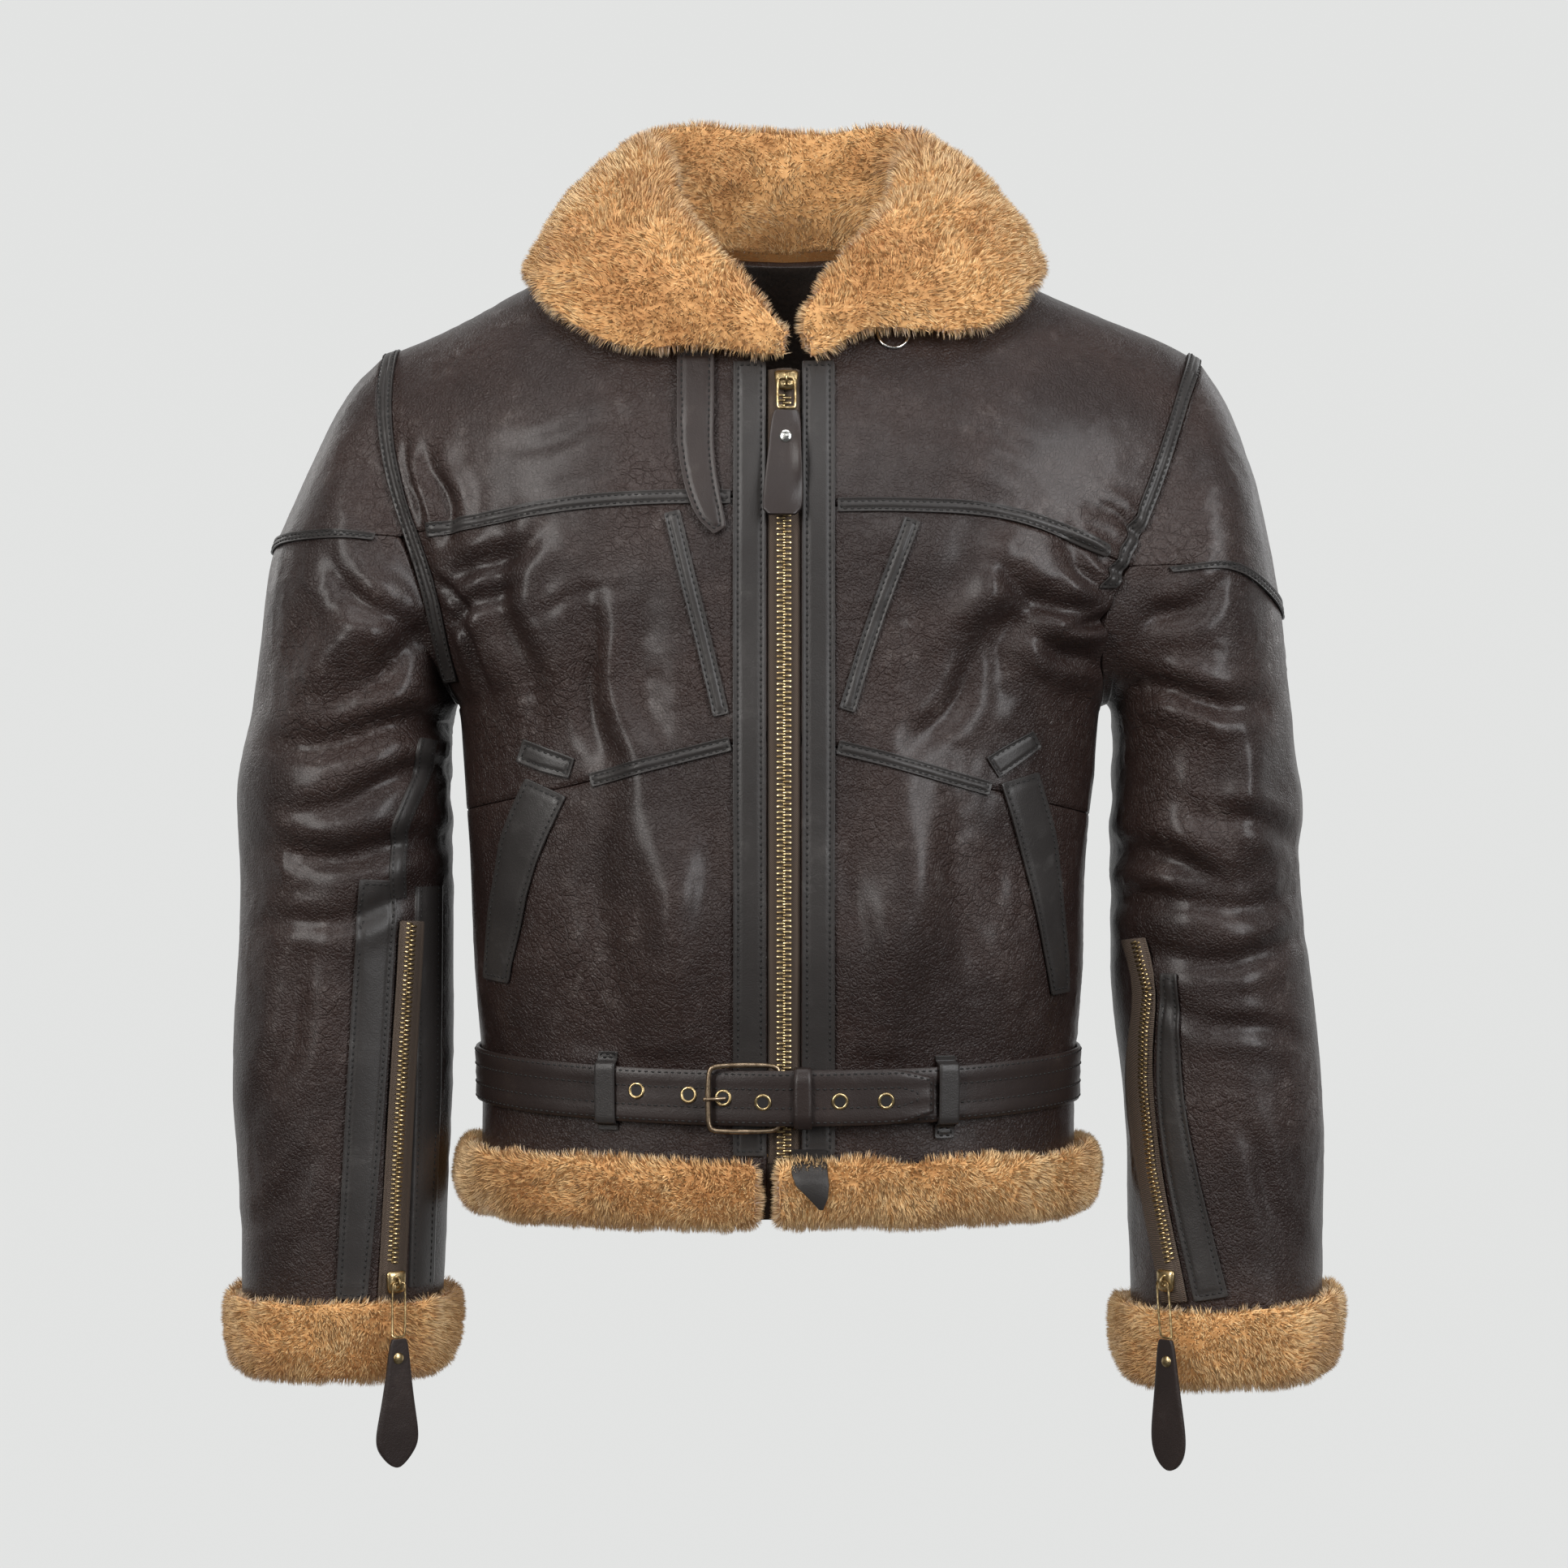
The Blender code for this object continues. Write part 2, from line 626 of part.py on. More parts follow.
def build_sleeve(side):
    ring = armhole_ring(side)
    turns = [turn_of(side, edge.z, behind) for edge, inner, outward, behind in ring]
    last_turn = turns[ROWS_YOKE]

    def pair(j, at):
        """The outer and the inner point of the wall, which leaves the panels' edges in their own direction."""
        edge, inner, outward, behind = ring[j]
        point = sleeve(side, turns[j], at)
        inward = sleeve_normal(side, turns[j], at) * -WALL
        hold = max(0.0, 1 - at / TURN_END)
        if hold > 0:
            point = point.lerp(edge + outward * SEAM + sleeve_shift(side, turns[j], at), hold)
            over_the_top = Vector((0, 0, max(0.0, -math.cos(turns[j])) * WALL * math.sin(math.pi * hold)))
            inward = inward * (1 - hold) + (inner - edge) * hold + over_the_top
            inward = inward.normalized() * mix(WALL, (inner - edge).length, hold)
        return point, point + inward

    def grid(start_of, end_of, columns, count, power):
        outer, inner = [], []
        for i in range(count + 1):
            share = (i / count) ** power
            pairs = [pair(j % len(ring), mix(start_of(j % len(ring)), end_of(j % len(ring)), share)) for j in columns]
            outer.append([p for p, q in pairs])
            inner.append([q for p, q in pairs])
        return outer, inner

    def band(j):
        return band_at(side, turns[j], last_turn)

    whole = grid(lambda j: band(j) + BAND_GAP if band(j) else 0.0, lambda j: 1.0, range(len(ring)), SLEEVE_ROWS, 1.15)
    wall(f"sleeve_{side}", *whole, SHEEPSKIN, wrap=True)
    cap = grid(lambda j: 0.0, lambda j: band(j) - BAND_GAP, range(-ROWS_YOKE, ROWS_YOKE + 1), CAP_ROWS, 1.0)
    wall(f"sleeve_cap_{side}", *cap, SHEEPSKIN)
    return [whole, cap], last_turn


sleeves, band_end = {}, {}
for side in SIDES:
    sleeves[side], band_end[side] = build_sleeve(side)


# What lies on the leather is lifted from the panels' own faces.
def tree_of(grids):
    points, faces = [], []
    for outer, inner in grids:
        base, width = len(points), len(outer[0])
        points += [point for row in outer for point in row]
        for i in range(len(outer) - 1):
            for j in range(width - 1):
                low = base + i * width + j
                faces.append((low, low + 1, low + width + 1, low + width))
    return BVHTree.FromPolygons(points, faces)


def closed_round(grid):
    return tuple([row + row[:1] for row in rows] for rows in grid)


BODY_TREE = tree_of([*fronts["r"], *fronts["l"], back])
SLEEVE_TREE = {side: tree_of([closed_round(sleeves[side][0]), sleeves[side][1]]) for side in SIDES}
REACH = 0.010
MOST_DROP = 0.0015


def lay(tree, point, normal, lift):
    """The point, raised by the lift over the faces that lie under it."""
    hit = tree.ray_cast(point + normal * REACH, -normal, 2 * REACH)[0]
    if hit is None or (hit - point).dot(normal) < -MOST_DROP:
        return point + normal * lift
    return hit + normal * lift


def settled(tree, low, normals):
    """How much each point of a strip's underside rises to keep its faces clear of the ridges between them."""
    rises = [[0.0] * len(row) for row in low]
    for i in range(len(low) - 1):
        for j in range(len(low[0]) - 1):
            corners = ((i, j), (i, j + 1), (i + 1, j), (i + 1, j + 1))
            for a, b in ((0, 1), (0, 2), (1, 3), (2, 3), (0, 3), (1, 2)):
                (ia, ja), (ib, jb) = corners[a], corners[b]
                middle = (low[ia][ja] + low[ib][jb]) / 2
                normal = (normals[ia][ja] + normals[ib][jb]).normalized()
                hit = tree.ray_cast(middle + normal * REACH, -normal, 2 * REACH)[0]
                if hit is None:
                    continue
                short = (hit - middle).dot(normal) + SEAM
                if short > 0:
                    for k, m in (corners[a], corners[b]):
                        rises[k][m] = max(rises[k][m], short)
    return rises


def laid_wall(name, tree, spots, heights, material, lifts):
    """A wall on the leather: rows of (point, normal), the thickness at each column, the lift of each row."""
    normals = [[normal for point, normal in row] for row in spots]
    low = [[lay(tree, point, normal, lift) for point, normal in row] for row, lift in zip(spots, lifts)]
    for _ in range(2):
        rises = settled(tree, low, normals)
        low = [[p + n * rise for p, n, rise in zip(*rows)] for rows in zip(low, normals, rises)]
    high = [[p + n * h for p, n, h in zip(row, ns, heights)] for row, ns in zip(low, normals)]
    return wall(name, high, low, material)


def ribbon(name, tree, place, rows, columns, material, height=LEATHER, lift=LAID):
    """A strip laid on the leather. place gives a point and its normal at a share along and a share across."""
    spots = [[place(i / rows, j / columns) for j in range(columns + 1)] for i in range(rows + 1)]
    return laid_wall(name, tree, spots, [height] * (columns + 1), material, [lift] * len(spots))


def route(path):
    """Places along a path of (out, z, width) rows, smooth between them, by share of its length."""
    rows = np.array(path, float)
    lengths = np.concatenate([[0], np.cumsum(np.hypot(np.diff(rows[:, 0]), np.diff(rows[:, 1])))])
    source = table("share out z width", *np.column_stack([lengths / lengths[-1], rows]))

    def at(share):
        return (read(source, "out", share), read(source, "z", share), read(source, "width", share))

    return at


def on_body(side, face, path):
    at = route(path)

    def place(along, across):
        out, z, width = at(along)
        (out0, z0, _), (out1, z1, _) = at(max(0.0, along - 0.01)), at(min(1.0, along + 0.01))
        length = math.hypot(out1 - out0, z1 - z0)
        away = (across - 0.5) * width / length
        out, z = out + (z1 - z0) * away, z - (out1 - out0) * away
        out = min(out, edge_out(side, face, z) - 0.0008)
        return body(side, face, out, z), body_normal(side, face, out, z)

    return place


def sleeve_place(side, out, z):
    """The turn and the share along the sleeve of a place in the front view."""
    rows, at = SLEEVE[side], 0.7
    for _ in range(20):
        top, low = read(rows, "top", at), read(rows, "low", at)
        top_z, low_z = read(rows, "top_z", at), read(rows, "low_z", at)
        along = min(0.995, max(-0.995, (2 * out - top - low) / (top - low)))
        at = min(1.0, max(0.2, at + ((top_z + low_z) / 2 + (top_z - low_z) / 2 * along - z) / 0.75))
    return math.acos(math.copysign(abs(along) ** (SLEEVE_SQUARENESS / 2), along)), at


def on_sleeve(side, path):
    at = route(path)

    def place(along, across):
        out, z, width = at(along)
        (out0, z0, _), (out1, z1, _) = at(max(0.0, along - 0.01)), at(min(1.0, along + 0.01))
        length = math.hypot(out1 - out0, z1 - z0)
        away = (across - 0.5) * width / length
        turn, share = sleeve_place(side, out + (z1 - z0) * away, z - (out1 - out0) * away)
        return sleeve(side, turn, share), sleeve_normal(side, turn, share)

    return place


# Seam strips, pockets and the throat strap: (out, z, width) down or across the front view
FUR_TOP_Z = -0.5875
STRIPS = {
    "placket_r": ((0.0212, -0.096, 0.0202), (0.0212, -0.330, 0.0202), (0.0212, -0.550, 0.0202), (0.0212, FUR_TOP_Z, 0.0202)),
    "placket_l": ((0.0212, -0.096, 0.0202), (0.0212, -0.330, 0.0202), (0.0212, -0.550, 0.0202), (0.0212, FUR_TOP_Z, 0.0202)),
    "chest_strip_r": ((0.0690, -0.1905, 0.010), (0.0530, -0.254, 0.010), (0.0385, -0.316, 0.010)),
    "chest_strip_l": ((0.0790, -0.1955, 0.010), (0.0560, -0.257, 0.010), (0.0385, -0.313, 0.010)),
    "pocket_tab_r": ((0.1640, -0.3370, 0.015), (0.1490, -0.3430, 0.015), (0.1320, -0.3485, 0.013)),
    "pocket_tab_l": ((0.1580, -0.3300, 0.012), (0.1440, -0.3390, 0.014), (0.1300, -0.3480, 0.015)),
    "pocket_welt_r": ((0.1480, -0.3600, 0.028), (0.1640, -0.3950, 0.027), (0.1740, -0.4400, 0.022), (0.1800, -0.4820, 0.016)),
    "pocket_welt_l": ((0.1470, -0.3540, 0.026), (0.1600, -0.3990, 0.023), (0.1680, -0.4500, 0.017), (0.1730, -0.4900, 0.012)),
    "throat_strap": (
        (0.0545, -0.090, 0.023),
        (0.0545, -0.120, 0.023),
        (0.0540, -0.155, 0.022),
        (0.0500, -0.178, 0.020),
        (0.0440, -0.195, 0.016),
        (0.0390, -0.203, 0.009),
    ),
}
STRIP_ROWS = {"placket": 17, "chest": 8, "pocket": 6, "throat": 10}


def seam_path(seam, side, start, end, width, count=6):
    return [(mix(start, end, i / count), read(seam, "z_" + side, mix(start, end, i / count)), width) for i in range(count + 1)]


for name, path in STRIPS.items():
    side = name[-1] if name[-1] in SIDES and name[-2] == "_" else "r"
    lift = 0.0026 if name == "throat_strap" else LAID
    ribbon(name, BODY_TREE, on_body(side, "front", path), STRIP_ROWS[name.split("_")[0]], 2, STRIP, lift=lift)
for side, yoke_end, waist_end in (("r", 0.222, 0.120), ("l", 0.200, 0.1285)):
    path = seam_path(YOKE_SEAM, side, 0.0330, yoke_end, 0.0088)
    ribbon(f"yoke_strip_{side}", BODY_TREE, on_body(side, "front", path), 12, 2, STRIP)
    path = seam_path(WAIST_SEAM, side, 0.0330, waist_end, 0.0088)
    ribbon(f"waist_strip_{side}", BODY_TREE, on_body(side, "front", path), 8, 2, STRIP)

ARMHOLE_STRIP = 0.0095
ARMHOLE_STRIP_LOW = {"r": -0.292, "l": -0.236}
ARMHOLE_STRIP_BACK_LOW = -0.258


def beside_armhole(side):
    """Places on the body just inside the armhole, from the front's low end over the shoulder and down the back."""
    tip_out, tip = TIP[side]
    slope = Vector((-0.06, shoulder_z(side, tip_out - 0.06) - tip)).normalized()

    def place(along, across):
        face = "front" if along <= 0.5 else "back"
        low = ARMHOLE_STRIP_LOW[side] if face == "front" else ARMHOLE_STRIP_BACK_LOW
        share = 1 - abs(2 * along - 1)
        z = tip + (low - tip) * (1 - share) ** 1.6
        out = edge_out(side, face, z)
        turn = max(0.0, 1 - (tip - z) / 0.030)
        inward = Vector((-1, 0)).lerp(slope, turn).normalized() * (0.0008 + across * ARMHOLE_STRIP)
        out, z = out + inward.x, z + inward.y
        z = min(z, shoulder_z(side, out))
        normal = body_normal(side, face, out, z)
        if along == 0.5:
            normal = (body_normal(side, "front", out, z - 0.002) + body_normal(side, "back", out, z - 0.002)).normalized()
        return body(side, face, out, z), normal

    return place


def along_band(side):
    """Places on the sleeve just below the cap's seam, from the front end round the top to the back end."""
    last = band_end[side] - 0.12

    def place(along, across):
        turn = mix(last, -last, along) % (2 * math.pi)
        share = band_at(side, turn, band_end[side]) + BAND_GAP + (across - 0.35) * 0.016
        return sleeve(side, turn, share), sleeve_normal(side, turn, share)

    return place


for side in SIDES:
    ribbon(f"armhole_strip_{side}", BODY_TREE, beside_armhole(side), 26, 2, STRIP)
    ribbon(f"sleeve_band_{side}", SLEEVE_TREE[side], along_band(side), 17, 2, STRIP, lift=0.0009)


# Cuff zips and the strips beside them: (out, z, width) down the front of each sleeve
CUFF = {
    "zip_r": ((0.2365, -0.445, 0.014), (0.2442, -0.579, 0.015), (0.2498, -0.688, 0.016)),
    "facing_out_r": ((0.2560, -0.419, 0.024), (0.2640, -0.545, 0.0235), (0.2735, -0.684, 0.019)),
    "facing_in_r": ((0.2255, -0.440, 0.010), (0.2300, -0.575, 0.010), (0.2345, -0.684, 0.010)),
    "zip_l": ((0.2240, -0.457, 0.013), (0.2310, -0.490, 0.013), (0.2290, -0.515, 0.013), (0.2290, -0.548, 0.014),
              (0.2345, -0.605, 0.014), (0.2490, -0.688, 0.015)),
    "facing_out_l": ((0.2440, -0.478, 0.010), (0.2445, -0.520, 0.013), (0.2465, -0.560, 0.015), (0.2540, -0.610, 0.018),
                     (0.2705, -0.684, 0.021)),
    "facing_in_l": ((0.2305, -0.590, 0.003), (0.2255, -0.620, 0.005), (0.2340, -0.684, 0.010)),
}
CHAIN_RISE = 0.0016
TAPE = 0.0010


def chain_ribbon(name, tree, place, rows, low, material):
    """A zip: its tape with the chain standing up along the middle."""
    profile = ((0.0, 0.0), (0.17, 0.0), (0.20, CHAIN_RISE), (0.80, CHAIN_RISE), (0.83, 0.0), (1.0, 0.0))
    spots = [[place(i / rows, across) for across, rise in profile] for i in range(rows + 1)]
    return laid_wall(name, tree, spots, [TAPE + rise for across, rise in profile], material, [low] * len(spots))


for side in SIDES:
    tree = SLEEVE_TREE[side]
    chain_ribbon(f"cuff_zip_{side}", tree, on_sleeve(side, CUFF["zip_" + side]), 10, LAID, BRASS)
    ribbon(f"cuff_facing_{side}", tree, on_sleeve(side, CUFF["facing_out_" + side]), 9, 2, STRIP)


def middle_front(z):
    right, left = body("r", "front", 0.004, z), body("l", "front", 0.004, z)
    point = (right + left) / 2
    below, above = body("r", "front", 0.004, z - 0.002), body("r", "front", 0.004, z + 0.002)
    rise = above - below
    return point, Vector((0, -rise.z, rise.y)).normalized()


ZIP_TOP_Z, ZIP_LOW_Z = -0.100, -0.5925
ZIP_ROWS = 15
TAPE_HALF = ZIP_EDGE - SEAM - 0.0001
CHAIN_HALF = 0.0048


def build_front_zip():
    outer, inner = [], []
    for i in range(ZIP_ROWS + 1):
        point, normal = middle_front(mix(ZIP_LOW_Z, ZIP_TOP_Z, i / ZIP_ROWS))
        profile = ((-TAPE_HALF, 0), (-CHAIN_HALF - 0.0004, 0), (-CHAIN_HALF, 0.0022), (CHAIN_HALF, 0.0022),
                   (CHAIN_HALF + 0.0004, 0), (TAPE_HALF, 0))
        outer.append([point + Vector((x, 0, 0)) + normal * (rise - 0.0008) for x, rise in profile])
        inner.append([point + Vector((x, 0, 0)) - normal * 0.0030 for x, rise in profile])
    wall("front_zip", outer, inner, BRASS)


build_front_zip()


# The collar: sections from its front end to the middle of the back, each from the neck seam over the roll
# line to the outer edge. The edge lies on the body at (edge_out, edge_z) of the front view or the back view.
COLLAR = table(
    "place  neck  roll_out roll_y  roll_z  edge_out edge_r   edge_l   thick   bulge",
    (0.00, 0.00, -0.0040, -0.1200, -0.0830, -0.0040, -0.0985, -0.0985, 0.0110, 0.0020),
    (0.10, 0.14, 0.0110, -0.1170, -0.0620, 0.0240, -0.0980, -0.0985, 0.0115, 0.0040),
    (0.20, 0.28, 0.0235, -0.1060, -0.0440, 0.0530, -0.0930, -0.0800, 0.0125, 0.0070),
    (0.30, 0.44, 0.0380, -0.0930, -0.0240, 0.0900, -0.0965, -0.0860, 0.0135, 0.0100),
    (0.40, 0.60, 0.0560, -0.0680, 0.0030, 0.1270, -0.0830, -0.0815, 0.0140, 0.0130),
    (0.50, 0.80, 0.0710, -0.0430, 0.0260, 0.1520, -0.0590, -0.0590, 0.0145, 0.0150),
    (0.60, 1.00, 0.0800, -0.0080, 0.0540, 0.1640, -0.0330, -0.0330, 0.0145, 0.0160),
    (0.70, 1.30, 0.0820, 0.0280, 0.0740, 0.1480, -0.0480, -0.0480, 0.0145, 0.0150),
    (0.80, 1.55, 0.0630, 0.0560, 0.0850, 0.1100, -0.0430, -0.0430, 0.0145, 0.0130),
    (0.90, 1.78, 0.0330, 0.0700, 0.0895, 0.0560, -0.0360, -0.0360, 0.0145, 0.0120),
    (1.00, 2.00, 0.0000, 0.0750, 0.0905, 0.0000, -0.0340, -0.0340, 0.0145, 0.0120),
)
COLLAR_END = {"r": 0.0, "l": 0.0175}  # how far each front end is moved outwards
COLLAR_SECTIONS = 16
COLLAR_STEPS = 9
COLLAR_TAPER = (0.45, 0.8, 1.0, 1.0, 1.0, 1.0, 1.0, 1.0, 0.8)  # of its thickness, from the seam
COLLAR_ABOVE_SEAM = 0.0034
COLLAR_CLEAR = 0.0040


def smooth_points(points, count):
    """Evenly spread points on a Catmull-Rom curve through the given ones."""
    ends = [points[0] * 2 - points[1], *points, points[-1] * 2 - points[-2]]
    fine = []
    for i in range(len(points) - 1):
        a, b, c, d = ends[i : i + 4]
        for k in range(12):
            f = k / 12
            fine.append(0.5 * (2 * b + (c - a) * f + (2 * a - 5 * b + 4 * c - d) * f**2 + (3 * b - a - 3 * c + d) * f**3))
    fine.append(points[-1])
    lengths = np.concatenate([[0], np.cumsum([(q - p).length for p, q in zip(fine, fine[1:])])])
    wanted = np.linspace(0, lengths[-1], count)
    return [Vector([float(np.interp(w, lengths, [p[axis] for p in fine])) for axis in range(3)]) for w in wanted]


def collar_section(side, place):
    """The collar's middle line at one place round the neck, from the neck seam to the edge, and its thickness."""
    def column(name):
        return read(COLLAR, name, place)

    sign = SIGN[side]
    shift = COLLAR_END[side] * max(0.0, 1 - place / 0.10)
    face = "front" if place <= 0.60 else "back"
    neck = column("neck")
    out, z = neckline(side, "front", min(neck, 1.0)) if neck <= 1 else neckline(side, "back", 2 - neck)
    if neck < 0.14:
        out = mix(column("roll_out") + shift, neckline(side, "front", 0.14)[0], neck / 0.14)
    seam = body(side, "front" if neck <= 1 else "back", max(abs(out), 0.0), min(z, shoulder_z(side, abs(out))))
    seam.x = sign * out
    seam -= Vector((sign * out, seam.y, 0)).normalized() * WALL * 0.5
    seam.z = z + COLLAR_ABOVE_SEAM
    roll = Vector((sign * (column("roll_out") + shift), column("roll_y"), column("roll_z")))
    edge_out_here = column("edge_out") + shift
    edge_z = min(column("edge_" + side), shoulder_z(side, abs(edge_out_here)))
    surface = body(side, face, abs(edge_out_here), edge_z)
    surface.x = sign * edge_out_here
    normal = body_normal(side, face, max(abs(edge_out_here), 0.001), edge_z - 0.002)
    thick = column("thick")
    edge = surface + normal * (COLLAR_CLEAR + thick / 2)
    fall = edge - roll
    outward = Vector((surface.x * 0.8, surface.y, 0.06)).normalized()
    outward = (outward - fall.normalized() * outward.dot(fall.normalized())).normalized()
    belly = roll + fall * 0.50 + outward * column("bulge")
    return smooth_points([seam, roll, belly, edge], COLLAR_STEPS), thick


def above_body(point):
    """The point, raised if it lies in or too near the body's leather."""
    near, normal = BODY_TREE.find_nearest(point)[:2]
    if normal.dot(near - Vector((0, 0, ROLL_START_Z))) < 0:
        normal.negate()
    height = (point - near).dot(normal)
    if height > COLLAR_CLEAR or (point - near).length > 2 * WALL:
        return point
    return point + normal * (COLLAR_CLEAR - height)


def build_collar():
    places = [("r", i / COLLAR_SECTIONS) for i in range(COLLAR_SECTIONS + 1)]
    places += [("l", 1 - i / COLLAR_SECTIONS) for i in range(1, COLLAR_SECTIONS + 1)]
    middles, thicks = zip(*(collar_section(side, place) for side, place in places))
    outer, inner = [], []
    for i, row in enumerate(middles):
        before, after = middles[max(i - 1, 0)], middles[min(i + 1, len(middles) - 1)]
        high, low = [], []
        for j, point in enumerate(row):
            along = after[j] - before[j]
            down = row[min(j + 1, len(row) - 1)] - row[max(j - 1, 0)]
            normal = along.cross(down).normalized()
            half = thicks[i] / 2 * float(np.interp(j, range(len(COLLAR_TAPER)), COLLAR_TAPER))
            high.append(point - normal * half)
            low.append(point + normal * half)
        outer.append([above_body(p) for p in high])
        inner.append([above_body(p) for p in low])
    return wall("collar", outer, inner, FUR)


build_collar()


# Fur turned out round the hem and the cuffs: (outward from the leather, height) round each section
FUR_CLEAR = 0.0005
HEM_FUR = table(
    "order   out      z",
    (0, FUR_CLEAR, -0.5910),
    (1, 0.0060, -0.5868),
    (2, 0.0125, -0.5905),
    (3, 0.0158, -0.6030),
    (4, 0.0150, -0.6190),
    (5, 0.0085, -0.6300),
    (6, -0.0020, -0.6325),
    (7, -0.0090, -0.6260),
    (8, -0.0090, HEM_Z - FUR_CLEAR),
    (9, FUR_CLEAR, HEM_Z - FUR_CLEAR),
)
HEM_GAP = (-0.0060, -0.0145)  # x of its two front ends, the left one first
def girth(turn, z):
    """A point of the body all round at one height, and its outward normal: turn 0 in front, then to the left."""
    sin, cos = math.sin(turn), math.cos(turn)
    side, face = ("l" if sin >= 0 else "r"), ("front" if cos >= 0 else "back")
    return body(side, face, read(TORSO, "half_" + side, z) * abs(sin) ** (2 / SQUARENESS), z)


def girth_normal(turn, z):
    across = girth(turn + 0.002, z) - girth(turn - 0.002, z)
    normal = Vector((-across.y, across.x, 0)).normalized()
    return -normal if normal.dot(girth(turn, z)) < 0 else normal


def turn_at(x, z):
    side = "l" if x >= 0 else "r"
    return math.copysign(math.asin((abs(x) / read(TORSO, "half_" + side, z)) ** (SQUARENESS / 2)), x)


def profile_band(name, base, profile, count, wrap, material):
    """A band whose section is a closed outline of (outward, z); base(i) gives its place, outward and tilt."""
    mesh = bmesh.new()
    rings = []
    for i in range(count):
        point, outward, up = base(i)
        rings.append([mesh.verts.new(point + outward * out + up * z) for out, z in profile])
    for i in range(count if wrap else count - 1):
        ring, other = rings[i], rings[(i + 1) % count]
        for k in range(len(profile)):
            m = (k + 1) % len(profile)
            mesh.faces.new((ring[k], other[k], other[m], ring[m]))
    if not wrap:
        mesh.faces.new(rings[0])
        mesh.faces.new(rings[-1][::-1])
    return solid(name, mesh, material)


def hem_points():
    """The lower edge of the leather all round, from the fur's left front end to its right one."""
    left, right, behind = fronts["l"][0][0][0], fronts["r"][0][0][0], back[0][0]
    start, end = (Vector((x, left[0].y, HEM_Z)) for x in HEM_GAP)
    past = [point for point in right if -point.x > -HEM_GAP[1] + 0.004]
    return [start, *left, *behind[-2:0:-1], *past[::-1], end]


def build_hem_fur():
    points = hem_points()
    low = HEM_Z - FUR_CLEAR
    profile = list(zip(HEM_FUR["out"], HEM_FUR["z"] - low))

    def base(i):
        along = points[min(i + 1, len(points) - 1)] - points[max(i - 1, 0)]
        normal = Vector((along.y, -along.x, 0)).normalized()
        normal = -normal if normal.dot(points[i]) < 0 else normal
        return Vector((points[i].x, points[i].y, low)) + normal * 0.0004, normal, Vector((0, 0, 1))

    profile_band("hem_fur", base, profile, len(points), False, FUR)


build_hem_fur()

CUFF_FUR = table(
    "order  out     drop",
    (0, 0.0006, 0.0480),
    (1, 0.0060, 0.0520),
    (2, 0.0110, 0.0480),
    (3, 0.0130, 0.0330),
    (4, 0.0120, 0.0140),
    (5, 0.0070, 0.0010),
    (6, -0.0030, -0.0030),
    (7, -0.0095, 0.0010),
    (8, -0.0095, 0.0215),
    (9, 0.0006, 0.0215),
)
CUFF_FUR_BELOW = 0.0215  # from the fur's lowest row to the end of the leather
CUFF_OVER_ZIP = 0.0030


def build_cuff_fur(side):
    """A ring of fur that covers the end of the sleeve, and the end of its zip."""
    profile = list(zip(CUFF_FUR["out"], CUFF_FUR["drop"] - CUFF_FUR_BELOW))
    rows = sleeves[side][0][0]
    last, above = rows[-1], rows[-3]
    middle = sum(last, Vector()) / len(last)
    zip_out = CUFF["zip_" + side][-1][0]

    def base(i):
        outward = last[i] - middle
        outward.z = 0
        outward.normalize()
        up = (above[i] - last[i]) / (above[i].z - last[i].z)
        near = math.exp(-(((abs(last[i].x) - zip_out) / 0.018) ** 2)) if last[i].y < 0 else 0.0
        point = last[i] + outward * (0.0004 + near * CUFF_OVER_ZIP)
        return Vector((point.x, point.y, last[i].z - FUR_CLEAR)), outward, up

    profile_band(f"cuff_fur_{side}", base, profile, len(last), True, FUR)


for side in SIDES:
    build_cuff_fur(side)


# The belt: one strap all round, its tongue passing over its own end in front
BELT_HALF = 0.0170
BELT_THICK = 0.0030
BELT_FRONT_LIFT = 0.0048
BELT_SIDE_LIFT = 0.0009
TONGUE_LIFT = 0.0128
TIP_LIFT = 0.0088
BELT_START_X, BELT_TIP_X = 0.0012, 0.0895
BELT_ROWS = 62
BELT_Z = {"front": -0.5508, "side": -0.5440}
BUCKLE_X = (-0.0456, -0.0022)
BUCKLE_LIFT = (0.0158, 0.0103)
BUCKLE_BAR = 0.0020
BUCKLE_HALF_HEIGHT = 0.0205


def belt_z(turn):
    return mix(BELT_Z["side"], BELT_Z["front"], max(0.0, math.cos(turn)) ** 2)


def belt_lift(turn):
    """The height of the belt's inner side over the leather, along its turn and a bit."""
    full = 2 * math.pi
    stops = (
        (0.00, BELT_FRONT_LIFT),
        (0.45, BELT_FRONT_LIFT),
        (0.80, BELT_SIDE_LIFT),
        (full - 0.60, BELT_SIDE_LIFT),
        (full - 0.30, BELT_FRONT_LIFT),
        (full - turn_of_x(0.040), 0.0065),
        (full - turn_of_x(0.015), TONGUE_LIFT),
        (full + turn_of_x(0.020), TONGUE_LIFT),
        (full + turn_of_x(0.045), TIP_LIFT + 0.0006),
        (full + turn_of_x(BELT_TIP_X), TIP_LIFT),
    )
    return float(np.interp(turn, [at for at, lift in stops], [lift for at, lift in stops]))


def turn_of_x(x):
    return abs(turn_at(x, BELT_Z["front"]))


